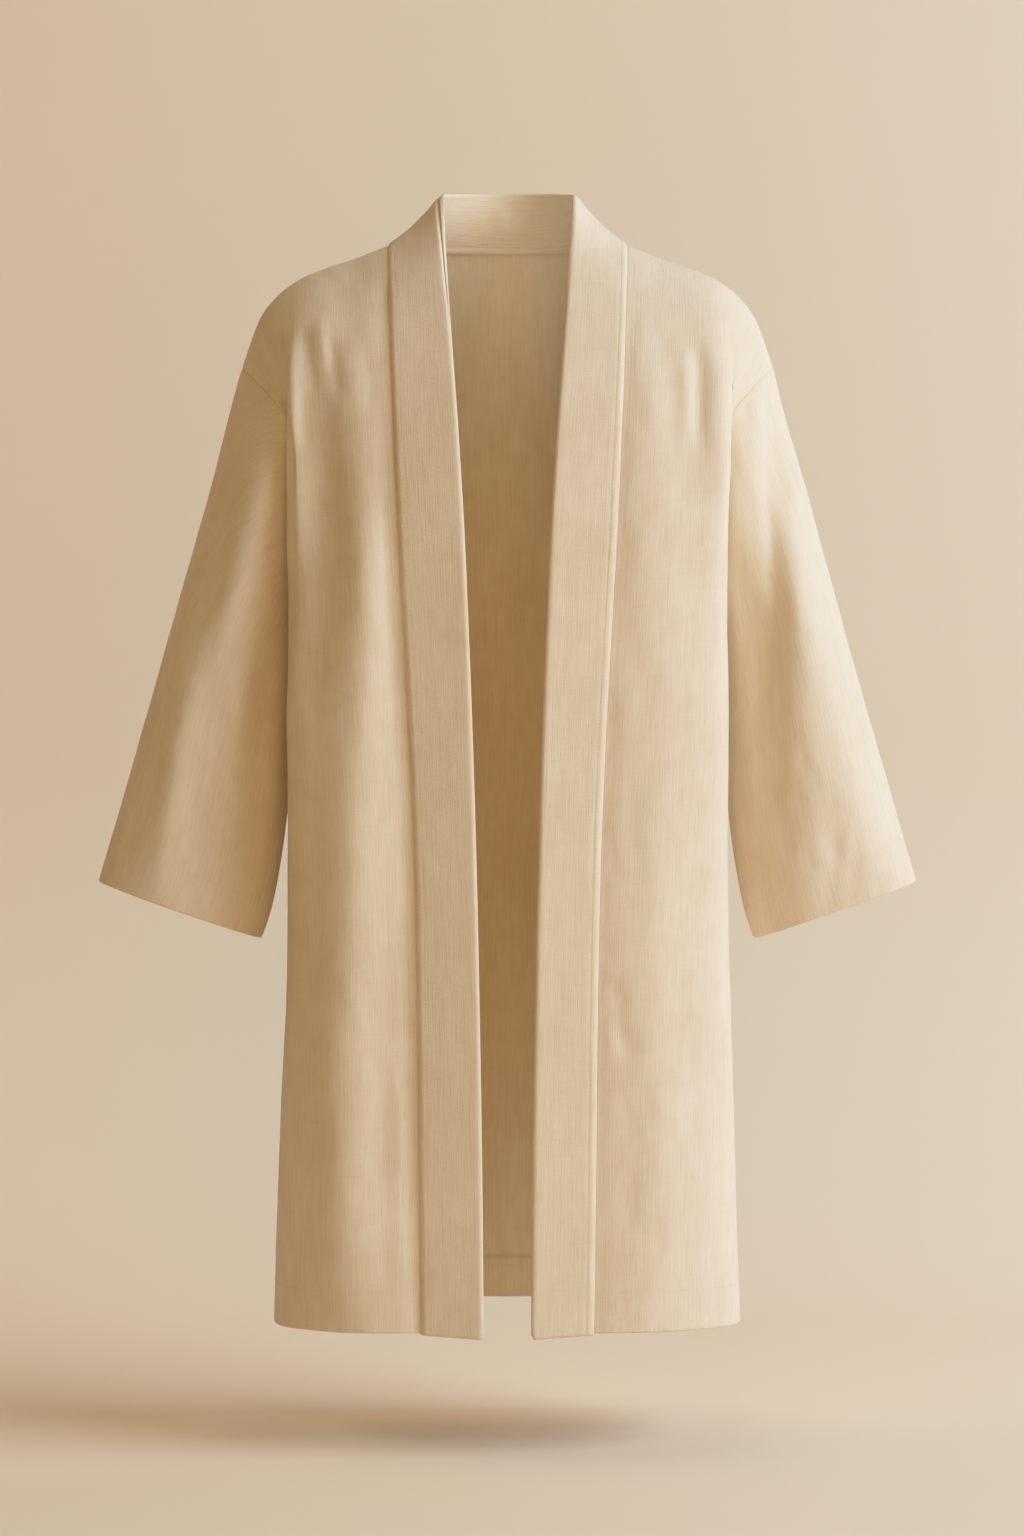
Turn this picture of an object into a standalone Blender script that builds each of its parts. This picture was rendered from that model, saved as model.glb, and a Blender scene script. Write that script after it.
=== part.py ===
"""Open-front kimono jacket in linen, filled out as if worn, with no wearer.

Six cut pieces: a back, two fronts, two wide three-quarter sleeves and one long folded neckband.
Metres, +Z up. The jacket faces -Y, and +X is the wearer's left. The origin is where the wearer's
shoulders carry it: on the centre line, level with the seam at the side of the neck.
"""

import bpy
import numpy as np

# Driving sizes
BODY_LENGTH = 0.957            # side of the neck down to the hem
CLOTH = 0.0016                 # wall of a single panel
HEM_TURN_UP = 0.036            # depth of the turned-up hem on body and sleeves
HEM_PLY = 0.0012               # extra cloth inside a turned-up hem
HEM_STEP = 0.0008              # height of the step where the turned-up ply ends
SEAM_GAP = 0.0003              # between two pieces that are sewn together
CORNER_PASSES = 8              # rounds in which three pieces at a corner come to face one way
BAND_LONGER = 0.0045           # the neckband ends this far below the front hem
FRONT_POWER = 3.0              # squareness of the front in plan
BACK_POWER = 2.4               # squareness of the back in plan
HOLLOW_POWER = 2.2             # flatness of the side hollow in plan
ARMHOLE_REACH = 3              # how quickly the armhole's shape dies away into the panel
UNDERARM = -0.300              # height where the armhole ends and the side seam starts
FALL_STEP = 0.036              # below the underarm, where the way the cloth falls is measured

# How finely each piece is cut into rows and columns
YOKE_ROWS = 12
BODY_ROWS = 15
SHOULDER_STRIPS = 11
NECK_STRIPS = 7
SLEEVE_ROWS = 15
CURVE_STEPS = 24               # on a seam, between two rows of its table
SECTION_STEPS = 160            # on a plan, before its points are spread evenly
SHARP_EDGE = np.radians(50)    # edges that turn more than this are shaded sharp

# Plan of the body below the underarm. The front and back corners stand wider than the side seam
# between them, because the sleeves hang in that hollow.
BODY_COLUMNS = ("height", "front", "corner_x", "corner_y", "side_x", "side_y",
                "back_corner_x", "back_corner_y", "back")
BODY_SECTIONS = (
    (-0.300, 0.112, 0.1950, -0.072, 0.1600, 0.012, 0.1900, 0.080, 0.115),
    (-0.450, 0.116, 0.1950, -0.066, 0.1745, 0.010, 0.1920, 0.074, 0.110),
    (-0.600, 0.121, 0.1975, -0.056, 0.1895, 0.008, 0.1970, 0.064, 0.112),
    (-0.750, 0.126, 0.2030, -0.044, 0.2012, 0.006, 0.2030, 0.052, 0.120),
    (-0.962, 0.131, 0.2085, -0.030, 0.2097, 0.004, 0.2085, 0.038, 0.130),
)

# Where the neckband lies across each front: its sewn edge and its folded edge.
BAND_COLUMNS = ("height", "seam_x", "fold_x")
BAND_LINES = (
    (-0.300, 0.0935, 0.0365),
    (-0.405, 0.0875, 0.0323),
    (-0.540, 0.0815, 0.0280),
    (-0.675, 0.0785, 0.0250),
    (-0.810, 0.0770, 0.0228),
    (-0.962, 0.0750, 0.0213),
)

# The shoulder seam from the neckband to the sleeve, seen from the front: across, height.
SHOULDER_LINE = (
    (0.1070, 0.0045),
    (0.1360, -0.0070),
    (0.1630, -0.0160),
    (0.1860, -0.0255),
    (0.2070, -0.0410),
    (0.2240, -0.0640),
    (0.2390, -0.1060),
)

# The ways the cloth leaves the shoulder seam and the neck on its way down.
FRONT_LEAVES_NECK = (0.00, -0.22, -0.02)
FRONT_LEAVES_TIP = (0.00, -0.16, -0.03)
BACK_LEAVES_CENTRE = (0.00, 0.10, -0.20)
BACK_LEAVES_NECK = (0.10, 0.19, -0.04)
BACK_LEAVES_TIP = (0.00, 0.18, -0.03)
BAND_LEAVES_NECK = (0.00, -0.17, -0.03)

# The armhole seam, from the underarm up the front to the shoulder and down the back. It comes to a
# point at the underarm, where the side seam meets it.
ARMHOLE_COLUMNS = ("place", "across", "depth", "height")
ARMHOLE = (
    ("underarm", 0.1600, 0.012, -0.300),
    ("front_low", 0.1700, -0.036, -0.250),
    ("front_notch", 0.1900, -0.056, -0.168),
    ("front_high", 0.2160, -0.040, -0.130),
    ("top", 0.2390, 0.000, -0.106),
    ("back_high", 0.2170, 0.048, -0.130),
    ("back_notch", 0.1900, 0.072, -0.175),
    ("back_low", 0.1700, 0.054, -0.254),
    ("underarm", 0.1600, 0.012, -0.300),
)

# Neck: the sewn edge of the band and its folded top edge, at the side and at the centre back.
NECK_SEAM_SIDE = (0.1070, 0.000, 0.0045)
NECK_SEAM_BACK = (0.0000, 0.075, 0.0060)
NECK_FOLD_SIDE = (0.0605, 0.000, 0.0495)
NECK_FOLD_BACK = (0.0000, 0.061, 0.0580)

# Cuff: the outer and inner corners in front view, and the opening's depth from front to back.
CUFF_OUTER = (0.3670, -0.567)
CUFF_INNER = (0.2210, -0.618)
CUFF_CENTRE_DEPTH = -0.008
CUFF_OPENING = 0.086
# The ways the sleeve leaves the shoulder, the sides of the armhole and the underarm, and reaches the cuff.
SLEEVE_LEAVES_TOP = (0.112, 0.0, -0.420)
SLEEVE_LEAVES_SIDE = (0.200, 0.0, -0.320)
SLEEVE_LEAVES_UNDERARM = (0.120, 0.0, -0.090)
SLEEVE_ARRIVES_OUTER = (0.116, 0.0, -0.390)
SLEEVE_ARRIVES_INNER = (0.160, 0.0, -0.370)

# Largest folds. Across runs from the neckband (0) to the side (1) on a front, from the wearer's
# left side (0) to the right (1) on the back, and once round a sleeve from its top by the front.
# A positive lift is a ridge, a negative one a trough.
FOLD_COLUMNS = ("across_top", "across_foot", "top", "foot", "half_width", "lift")
FOLDS = {
    "front_left": (
        (0.60, 0.56, -0.070, -0.250, 0.14, -0.0045),
        (0.30, 0.34, -0.260, -1.000, 0.22, 0.0020),
        (0.50, 0.52, -0.300, -1.000, 0.22, 0.0030),
    ),
    "front_right": (
        (0.52, 0.28, -0.080, -0.360, 0.17, -0.0055),
        (0.15, 0.35, -0.200, -1.000, 0.20, 0.0105),
        (0.70, 0.72, -0.380, -1.000, 0.17, -0.0050),
    ),
    "back": (
        (0.36, 0.30, -0.120, -1.000, 0.08, -0.0060),
        (0.45, 0.44, -0.200, -1.000, 0.07, 0.0050),
        (0.66, 0.70, -0.100, -1.000, 0.08, -0.0065),
        (0.57, 0.56, -0.260, -1.000, 0.07, 0.0040),
    ),
    "sleeve_left": (
        (0.33, 0.30, -0.210, -0.640, 0.09, -0.0060),
        (0.18, 0.16, -0.240, -0.640, 0.08, 0.0040),
        (0.72, 0.74, -0.200, -0.640, 0.09, -0.0060),
    ),
    "sleeve_right": (
        (0.20, 0.19, -0.170, -0.640, 0.08, 0.0050),
        (0.35, 0.32, -0.260, -0.640, 0.09, -0.0060),
        (0.70, 0.72, -0.180, -0.640, 0.09, -0.0060),
    ),
}
FOLD_ENDS = 0.16               # height over which a fold grows from nothing
FOLD_CLEAR_OF_SEAM = 0.09      # share of the width beside a seam that stays unfolded

# Neckband across its width, from the folded edge (0) to the sewn edge (1).
BAND_PROFILE_COLUMNS = ("share", "outer", "inner")
BAND_PROFILE = (
    (0.00, -0.0004, 0.0014),
    (0.05, 0.0008, 0.0018),
    (0.30, 0.0012, 0.0018),
    (0.70, 0.0012, 0.0018),
    (0.93, 0.0009, 0.0018),
    (1.00, 0.0000, 0.0016),
)

LINEN_COLOUR = (0.72, 0.59, 0.42)
LINEN_ROUGHNESS = 0.85


def column(rows, names, name):
    """One named column of a table, as numbers."""
    return np.array([row[names.index(name)] for row in rows], float)


def columns(rows, names, wanted):
    """Several named columns of a table, side by side."""
    return np.stack([column(rows, names, name) for name in wanted], axis=1)


def slopes_of(at, values):
    """Slopes for a smooth curve through a table's values, with no overshoot."""
    steps = np.diff(values) / np.diff(at)
    slopes = np.concatenate([steps[:1], (steps[1:] + steps[:-1]) / 2, steps[-1:]])
    turning = steps[1:] * steps[:-1] <= 0
    slopes[1:-1][turning] = 0
    return slopes


def smooth(at, values, where):
    """Values of a table between its rows, on a smooth curve."""
    order = np.argsort(at)
    at, values = np.asarray(at)[order], np.asarray(values)[order]
    slopes = slopes_of(at, values)
    where = np.clip(where, at[0], at[-1])
    i = np.clip(np.searchsorted(at, where) - 1, 0, len(at) - 2)
    span = at[i + 1] - at[i]
    return hermite(values[i], values[i + 1], slopes[i] * span, slopes[i + 1] * span, (where - at[i]) / span)


def hermite(start, end, leaving, arriving, t):
    """Cubic from start to end with the given end tangents."""
    return (
        (2 * t**3 - 3 * t**2 + 1) * start
        + (t**3 - 2 * t**2 + t) * leaving
        + (3 * t**2 - 2 * t**3) * end
        + (t**3 - t**2) * arriving
    )


def ease(t):
    """0 below 0, 1 above 1, and smooth between."""
    t = np.clip(t, 0, 1)
    return t * t * (3 - 2 * t)


def unit(vectors):
    return vectors / np.maximum(np.linalg.norm(vectors, axis=-1, keepdims=True), 1e-12)


def spaced(points, count):
    """count points spread evenly along a line of points."""
    lengths = np.linalg.norm(np.diff(points, axis=0), axis=1)
    along = np.concatenate([[0], np.cumsum(lengths)])
    at = np.linspace(0, along[-1], count)
    return np.stack([np.interp(at, along, points[:, k]) for k in range(3)], axis=1)


def through(points):
    """A smooth curve through a few points."""
    points = np.asarray(points, float)
    padded = np.concatenate([2 * points[:1] - points[1:2], points, 2 * points[-1:] - points[-2:-1]])
    t = np.linspace(0, 1, CURVE_STEPS, endpoint=False)[:, None]
    pieces = [
        hermite(b, c, (c - a) / 2, (d - b) / 2, t)
        for a, b, c, d in zip(padded, padded[1:], padded[2:], padded[3:])
    ]
    return np.concatenate(pieces + [points[-1:]])


def at_height(rows, names, name, height):
    """A table's named column at any height."""
    return smooth(column(rows, names, "height"), column(rows, names, name), height)


def body_size(name, height):
    return at_height(BODY_SECTIONS, BODY_COLUMNS, name, height)


def band_line(name, height):
    return at_height(BAND_LINES, BAND_COLUMNS, name, height)


def front_depth(across, height):
    """Depth of the front at a place across it, from the plan of that height."""
    corner_x, corner_y = body_size("corner_x", height), body_size("corner_y", height)
    bulge = (1 - np.clip(across / corner_x, 0, 1) ** FRONT_POWER) ** (1 / FRONT_POWER)
    return corner_y - (body_size("front", height) + corner_y) * bulge


def quarter(height, corner_x, corner_y, centre_depth, first_x, power):
    """Plan from a place on the front or the back round to its corner."""
    turn = np.linspace(0, np.pi / 2, SECTION_STEPS)
    x = corner_x * np.sin(turn) ** (2 / power)
    y = corner_y + (centre_depth - corner_y) * np.cos(turn) ** (2 / power)
    keep = x > first_x
    start = [first_x, np.interp(first_x, x, y)]
    plan = np.concatenate([[start], np.stack([x[keep], y[keep]], axis=1)])
    return np.concatenate([plan, np.full((len(plan), 1), height)], axis=1)


def hollow(height, corner_x, corner_y):
    """Plan from a corner in to the side seam."""
    t = np.linspace(0, 1, SECTION_STEPS)[1:]
    side_x, side_y = body_size("side_x", height), body_size("side_y", height)
    x = side_x + (corner_x - side_x) * ((1 + np.cos(np.pi * t)) / 2) ** HOLLOW_POWER
    return np.stack([x, corner_y + (side_y - corner_y) * t, np.full(len(t), height)], axis=1)


def front_section(height):
    """The wearer's left front in plan, from the neckband seam to the side seam."""
    corner_x, corner_y = body_size("corner_x", height), body_size("corner_y", height)
    depth, seam_x = -body_size("front", height), band_line("seam_x", height)
    curve = quarter(height, corner_x, corner_y, depth, seam_x, FRONT_POWER)
    return np.concatenate([curve, hollow(height, corner_x, corner_y)])


def back_section(height, first_x):
    """The back's left half in plan, from a place on it to the side seam."""
    corner_x, corner_y = body_size("back_corner_x", height), body_size("back_corner_y", height)
    curve = quarter(height, corner_x, corner_y, body_size("back", height), first_x, BACK_POWER)
    return np.concatenate([curve, hollow(height, corner_x, corner_y)])


def armhole_halves():
    """The front and the back of the armhole seam, each from the shoulder to the underarm."""
    loop = through(columns(ARMHOLE, ARMHOLE_COLUMNS, ("across", "depth", "height")))
    places = [row[ARMHOLE_COLUMNS.index("place")] for row in ARMHOLE]
    top = places.index("top") * CURVE_STEPS
    return spaced(loop[: top + 1][::-1], YOKE_ROWS + 1), spaced(loop[top:], YOKE_ROWS + 1)


def shoulder_line(count):
    """The left shoulder seam, which lies in the plane of the shoulders."""
    points = [(across, 0, height) for across, height in SHOULDER_LINE]
    return spaced(through(points), count)


def yoke(top, leaving, section_at, armhole):
    """Columns of cloth from the shoulder down to the underarm, as rows from the bottom up."""
    foot = section_at(UNDERARM)
    just_below = section_at(UNDERARM - FALL_STEP)
    falling = unit(just_below - foot)
    reach = np.linalg.norm(foot - top, axis=1, keepdims=True)
    down = [hermite(top, foot, leaving, falling * reach, k / YOKE_ROWS) for k in range(YOKE_ROWS + 1)]
    rows = np.array(down)
    share = np.linspace(0, 1, rows.shape[1])[None, :, None] ** ARMHOLE_REACH
    rows += (armhole - rows[:, -1])[:, None, :] * share
    return rows[::-1]


def body_heights():
    """Heights of the rows from the hem to the underarm, with two at the top of the turned-up hem."""
    hem = -BODY_LENGTH
    turned = hem + HEM_TURN_UP
    above = np.linspace(turned + HEM_STEP, UNDERARM, BODY_ROWS)
    return np.concatenate([[hem, turned], above])


def front_grid():
    """The wearer's left front: rows from hem to shoulder, columns from neckband to side."""
    count = SHOULDER_STRIPS + 1
    top = shoulder_line(count)
    across = np.linspace(0, 1, count)[:, None]
    leaving = np.array(FRONT_LEAVES_NECK) * (1 - across) + np.array(FRONT_LEAVES_TIP) * across
    lower = [spaced(front_section(z), count) for z in body_heights()]
    upper = yoke(top, leaving, lambda z: spaced(front_section(z), count), armhole_halves()[0])
    return np.concatenate([np.array(lower), upper[1:]])


def neck_curve(side, back, count):
    """A quarter turn from the side of the neck to the centre back."""
    turn = np.linspace(0, np.pi / 2, count)[:, None]
    side, back = np.array(side), np.array(back)
    across_depth = side * np.cos(turn) + back * np.sin(turn)
    height = side[2] + (back[2] - side[2]) * np.sin(turn)
    return np.concatenate([across_depth[:, :2], height], axis=1)


def back_half_line(points, split_x):
    """Points along half a back section: the neck's columns, then the shoulder's."""
    split = np.argmax(points[:, 0] >= split_x)
    neck = spaced(points[: split + 1], NECK_STRIPS + 1)
    shoulder = spaced(points[split:], SHOULDER_STRIPS + 1)
    return np.concatenate([neck, shoulder[1:]])


def back_grid():
    """The back: rows from hem to shoulder, columns from the wearer's left side to the right."""
    neck_side = NECK_SEAM_SIDE[0]

    def section_at(height):
        return back_half_line(back_section(height, 0.0), neck_side)

    neck = neck_curve(NECK_SEAM_SIDE, NECK_SEAM_BACK, NECK_STRIPS + 1)[::-1]
    top = np.concatenate([neck, shoulder_line(SHOULDER_STRIPS + 1)[1:]])
    beside = np.linspace(0, 1, NECK_STRIPS + 1)[:, None]
    at_neck = np.array(BACK_LEAVES_CENTRE) * (1 - beside) + np.array(BACK_LEAVES_NECK) * beside
    along = np.linspace(0, 1, SHOULDER_STRIPS + 1)[1:, None]
    at_shoulder = np.array(BACK_LEAVES_NECK) * (1 - along) + np.array(BACK_LEAVES_TIP) * along
    lower = np.array([section_at(z) for z in body_heights()])
    upper = yoke(top, np.concatenate([at_neck, at_shoulder]), section_at, armhole_halves()[1])
    half = np.concatenate([lower, upper[1:]])
    right = half[:, 1:] * np.array([-1, 1, 1])
    return np.concatenate([half[:, ::-1], right], axis=1)


def cuff_ring():
    """The cuff's edge, from its outer corner round the front to the inner corner and back."""
    turn = np.linspace(0, 2 * np.pi, 2 * YOKE_ROWS, endpoint=False)[:, None]
    outer = np.array([CUFF_OUTER[0], CUFF_CENTRE_DEPTH, CUFF_OUTER[1]])
    inner = np.array([CUFF_INNER[0], CUFF_CENTRE_DEPTH, CUFF_INNER[1]])
    deep = np.array([0, -CUFF_OPENING / 2, 0])
    return (outer + inner) / 2 + (outer - inner) / 2 * np.cos(turn) + deep * np.sin(turn)


def sleeve_grid():
    """The wearer's left sleeve: rows from armhole to cuff, columns once round from its top."""
    front, back = armhole_halves()
    start = np.concatenate([front, back[1:-1][::-1]])
    end = cuff_ring()
    sleeve_length = np.linalg.norm(end - start, axis=1).max()
    turned = 1 - HEM_TURN_UP / sleeve_length
    above = turned - HEM_STEP / sleeve_length
    along = np.concatenate([np.linspace(0, above, SLEEVE_ROWS), [turned, 1]])
    turn = np.linspace(0, 2 * np.pi, len(start), endpoint=False)[:, None]
    top, underarm = np.maximum(np.cos(turn), 0) ** 2, np.maximum(-np.cos(turn), 0) ** 2
    leaving = (
        np.array(SLEEVE_LEAVES_TOP) * top
        + np.array(SLEEVE_LEAVES_UNDERARM) * underarm
        + np.array(SLEEVE_LEAVES_SIDE) * np.sin(turn) ** 2
    )
    pull = np.linalg.norm(end - start, axis=1, keepdims=True) / sleeve_length
    inner = (1 - np.cos(turn)) / 2
    arriving = (np.array(SLEEVE_ARRIVES_OUTER) * (1 - inner) + np.array(SLEEVE_ARRIVES_INNER) * inner) * pull
    return np.array([hermite(start, end, leaving, arriving, t) for t in along])


def band_grid(front):
    """The neckband: rows from the left front hem round the neck to the right, folded edge to seam."""
    heights = np.array(body_heights())
    heights[0] -= BAND_LONGER
    fold_x = band_line("fold_x", heights)
    fold_front = np.stack([fold_x, front_depth(fold_x, heights), heights], axis=1)
    seam_front = front[:, 0].copy()
    seam_front[0, 2] -= BAND_LONGER
    foot = fold_front[-1]
    falling = unit(fold_front[-2] - foot)
    side = np.array(NECK_FOLD_SIDE)
    leaving, arriving = np.array(BAND_LEAVES_NECK), falling * np.linalg.norm(side - foot)
    share = np.arange(YOKE_ROWS, -1, -1)[1:, None] / YOKE_ROWS
    fold_yoke = hermite(side, foot, leaving, arriving, share)
    fold_neck = neck_curve(NECK_FOLD_SIDE, NECK_FOLD_BACK, NECK_STRIPS + 1)[1:]
    seam_neck = neck_curve(NECK_SEAM_SIDE, NECK_SEAM_BACK, NECK_STRIPS + 1)[1:]
    fold = np.concatenate([fold_front, fold_yoke, fold_neck])
    seam = np.concatenate([seam_front, seam_neck])
    other = np.array([-1, 1, 1])
    fold = np.concatenate([fold, fold[-2::-1] * other])[:, None]
    seam = np.concatenate([seam, seam[-2::-1] * other])[:, None]
    share = column(BAND_PROFILE, BAND_PROFILE_COLUMNS, "share")[None, :, None]
    return fold * (1 - share) + seam * share


def mirrored(grid):
    """The same piece for the wearer's right, with its columns turned round so that it faces out."""
    return (grid * np.array([-1, 1, 1]))[:, ::-1]


def normals_of(grid, closed=False):
    """Outward directions at the points of a grid."""
    if closed:
        along_columns = np.roll(grid, -1, axis=1) - np.roll(grid, 1, axis=1)
    else:
        along_columns = np.gradient(grid, axis=1)
    return unit(np.cross(along_columns, np.gradient(grid, axis=0)))


def fold_lift(name, across, height):
    """How far the named piece's folds lift its cloth at each point."""
    lift = np.zeros(np.broadcast(across, height).shape)
    for row in FOLDS[name]:
        fold = dict(zip(FOLD_COLUMNS, row))
        down = np.clip((fold["top"] - height) / (fold["top"] - fold["foot"]), 0, 1)
        centre = fold["across_top"] + (fold["across_foot"] - fold["across_top"]) * down
        shape = np.cos(np.pi / 2 * np.clip((across - centre) / fold["half_width"], -1, 1)) ** 2
        grown = ease((fold["top"] - height) / FOLD_ENDS) * ease((height - fold["foot"]) / FOLD_ENDS)
        lift = lift + fold["lift"] * shape * grown
    return lift


def beside_seams(across):
    """0 at the seams at both sides of a piece, 1 away from them."""
    return ease(across / FOLD_CLEAR_OF_SEAM) * ease((1 - across) / FOLD_CLEAR_OF_SEAM)


def folded(name, grid, across, closed=False):
    """A piece's grid with its folds."""
    lift = fold_lift(name, across, grid[..., 2])
    if not closed:
        lift = lift * beside_seams(across)
    return grid + normals_of(grid, closed) * lift[..., None]


def trimmed(grid, sides=()):
    """A grid drawn back by half the seam gap at the named sides."""
    grid = grid.copy()
    pull = SEAM_GAP / 2
    edges = {
        "first_column": (np.s_[:, 0], np.s_[:, 1]),
        "last_column": (np.s_[:, -1], np.s_[:, -2]),
        "first_row": (np.s_[0], np.s_[1]),
        "last_row": (np.s_[-1], np.s_[-2]),
    }
    for side in sides:
        edge, inside = edges[side]
        grid[edge] += unit(grid[inside] - grid[edge]) * pull
    return grid


def wall_mesh(name, outer, inner, closed):
    """A closed mesh between an outer and an inner grid of points."""
    points = np.concatenate([outer.reshape(-1, 3), inner.reshape(-1, 3)])
    layer = outer.shape[0] * outer.shape[1]
    index = np.arange(layer).reshape(outer.shape[:2])
    if closed:
        index = np.concatenate([index, index[:, :1]], axis=1)
    under = index + layer
    faces = []
    for a, b in zip(index[:-1], index[1:]):
        for j in range(len(a) - 1):
            faces.append((a[j], a[j + 1], b[j + 1], b[j]))
    faces += [tuple(k + layer for k in face[::-1]) for face in faces]
    borders = [(index[0][::-1], under[0][::-1]), (index[-1], under[-1])]
    if not closed:
        borders += [(index[:, 0], under[:, 0]), (index[::-1, -1], under[::-1, -1])]
    for top, low in borders:
        for a, b, c, d in zip(top, top[1:], low[1:], low):
            # Two pieces at a seam split their edges along the same lines, from the lower end.
            if points[a][2] <= points[b][2]:
                faces += [(a, b, c), (a, c, d)]
            else:
                faces += [(a, b, d), (b, c, d)]
    mesh = bpy.data.meshes.new(name)
    mesh.from_pydata(points.tolist(), [], [tuple(int(k) for k in face) for face in faces])
    mesh.validate()
    mesh.shade_smooth()
    mesh.set_sharp_from_angle(angle=SHARP_EDGE)
    return mesh


def linen(name):
    material = bpy.data.materials.new(name)
    material.use_nodes = True
    shader = material.node_tree.nodes["Principled BSDF"]
    shader.inputs["Base Color"].default_value = (*LINEN_COLOUR, 1)
    shader.inputs["Roughness"].default_value = LINEN_ROUGHNESS
    shader.inputs["Metallic"].default_value = 0
    return material


def add_piece(name, parent, outer, inner, closed=False):
    piece = bpy.data.objects.new(name, wall_mesh(name, outer, inner, closed))
    piece.data.materials.append(linen(f"linen_{name}"))
    piece.parent = parent
    bpy.context.scene.collection.objects.link(piece)


def panel(name, parent, grid, normals, hem_rows, closed=False):
    """A panel of single cloth, with a second ply inside at its turned-up hem."""
    wall = np.full(grid.shape[:2], CLOTH)
    wall[hem_rows] += HEM_PLY
    add_piece(name, parent, grid, grid - normals * wall[..., None], closed)


def seams_between(front_rows, underarm_row):
    """Where the pieces are sewn together: two pieces and the matching points of each."""
    low, high = slice(0, underarm_row + 1), slice(underarm_row, None)
    forward = np.arange(YOKE_ROWS, -1, -1)
    backward = (2 * YOKE_ROWS - forward) % (2 * YOKE_ROWS)
    wide = SHOULDER_STRIPS
    return (
        ("front_left", np.s_[low, -1], "back", np.s_[low, 0]),
        ("front_right", np.s_[low, 0], "back", np.s_[low, -1]),
        ("front_left", np.s_[-1, ::-1], "back", np.s_[-1, : wide + 1]),
        ("front_right", np.s_[-1, ::-1], "back", np.s_[-1, -wide - 1 :]),
        ("front_left", np.s_[high, -1], "sleeve_left", (0, forward)),
        ("back", np.s_[high, 0], "sleeve_left", (0, backward)),
        ("front_right", np.s_[high, 0], "sleeve_right", (0, backward)),
        ("back", np.s_[high, -1], "sleeve_right", (0, forward)),
        ("front_left", np.s_[:, 0], "neckband", np.s_[:front_rows, -1]),
        ("front_right", np.s_[:, -1], "neckband", np.s_[: -front_rows - 1 : -1, -1]),
        ("back", np.s_[-1, wide:-wide], "neckband", np.s_[front_rows - 1 : 1 - front_rows, -1]),
    )


def main():
    for old in list(bpy.data.objects):
        bpy.data.objects.remove(old)
    jacket = bpy.data.objects.new("kimono_jacket", None)
    bpy.context.scene.collection.objects.link(jacket)

    front, back, sleeve = front_grid(), back_grid(), sleeve_grid()
    front_across = np.linspace(0, 1, front.shape[1])[None, :]
    back_across = np.linspace(0, 1, back.shape[1])[None, :]
    round_sleeve = np.linspace(0, 1, sleeve.shape[1], endpoint=False)[None, :]
    right_sleeve = mirrored(folded("sleeve_right", sleeve, round_sleeve, closed=True))
    grids = {
        "back": folded("back", back, back_across),
        "front_left": folded("front_left", front, front_across),
        "front_right": mirrored(folded("front_right", front, front_across)),
        "sleeve_left": folded("sleeve_left", sleeve, round_sleeve, closed=True),
        "sleeve_right": np.roll(right_sleeve, 1, axis=1),
        "neckband": band_grid(front),
    }
    sleeves = ("sleeve_left", "sleeve_right")
    normals = {name: normals_of(grid, closed=name in sleeves) for name, grid in grids.items()}
    seams = seams_between(len(front), len(body_heights()) - 1)
    for first, at_first, second, at_second in seams * CORNER_PASSES:
        mean = unit(normals[first][at_first] + normals[second][at_second])
        normals[first][at_first] = mean
        normals[second][at_second] = mean

    for name in ("back", "front_left", "front_right"):
        grid = trimmed(grids[name], ("first_column", "last_column", "last_row"))
        panel(name, jacket, grid, normals[name], slice(0, 2))
    for name in sleeves:
        grid = trimmed(grids[name], ("first_row",))
        panel(name, jacket, grid, normals[name], slice(-2, None), closed=True)
    band = trimmed(grids["neckband"], ("last_column",))
    outer = column(BAND_PROFILE, BAND_PROFILE_COLUMNS, "outer")[None, :, None]
    inner = column(BAND_PROFILE, BAND_PROFILE_COLUMNS, "inner")[None, :, None]
    across = normals["neckband"]
    add_piece("neckband", jacket, band + across * outer, band - across * inner)


main()
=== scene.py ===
"""Looks of the open-front kimono jacket: creased linen shells on the solids, with their sewing.

Metres, +Z up. The jacket faces -Y, and +X is the wearer's left. Each piece is a thin closed shell
laid on the form of its solid, with the creases that the hanging cloth makes, and it rides on "root".
"""

import math

import bpy
import numpy as np
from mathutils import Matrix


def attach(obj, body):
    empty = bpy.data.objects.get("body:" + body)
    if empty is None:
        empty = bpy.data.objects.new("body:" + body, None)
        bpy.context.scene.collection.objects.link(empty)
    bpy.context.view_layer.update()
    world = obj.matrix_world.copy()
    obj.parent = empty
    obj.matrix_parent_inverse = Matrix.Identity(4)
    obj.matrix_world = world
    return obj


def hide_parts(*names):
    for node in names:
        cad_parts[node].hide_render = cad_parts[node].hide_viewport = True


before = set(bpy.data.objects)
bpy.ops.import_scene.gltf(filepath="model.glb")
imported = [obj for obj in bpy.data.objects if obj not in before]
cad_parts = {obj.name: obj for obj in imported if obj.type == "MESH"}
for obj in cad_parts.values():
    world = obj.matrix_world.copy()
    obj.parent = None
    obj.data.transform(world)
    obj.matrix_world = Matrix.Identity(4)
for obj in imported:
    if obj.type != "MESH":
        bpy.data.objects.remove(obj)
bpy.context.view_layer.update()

# Driving sizes of the solids
BODY_LENGTH = 0.957            # side of the neck down to the hem
HEM_TURN_UP = 0.036            # depth of the turned-up hem on body and sleeves
BAND_LONGER = 0.0045           # the neckband ends this far below the front hem
FRONT_POWER = 3.0              # squareness of the front in plan
BACK_POWER = 2.4               # squareness of the back in plan
HOLLOW_POWER = 2.2             # flatness of the side hollow in plan
ARMHOLE_REACH = 3              # how quickly the armhole's shape dies away into the panel
UNDERARM = -0.300              # height where the armhole ends and the side seam starts
FALL_STEP = 0.036              # below the underarm, where the way the cloth falls is measured

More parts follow.
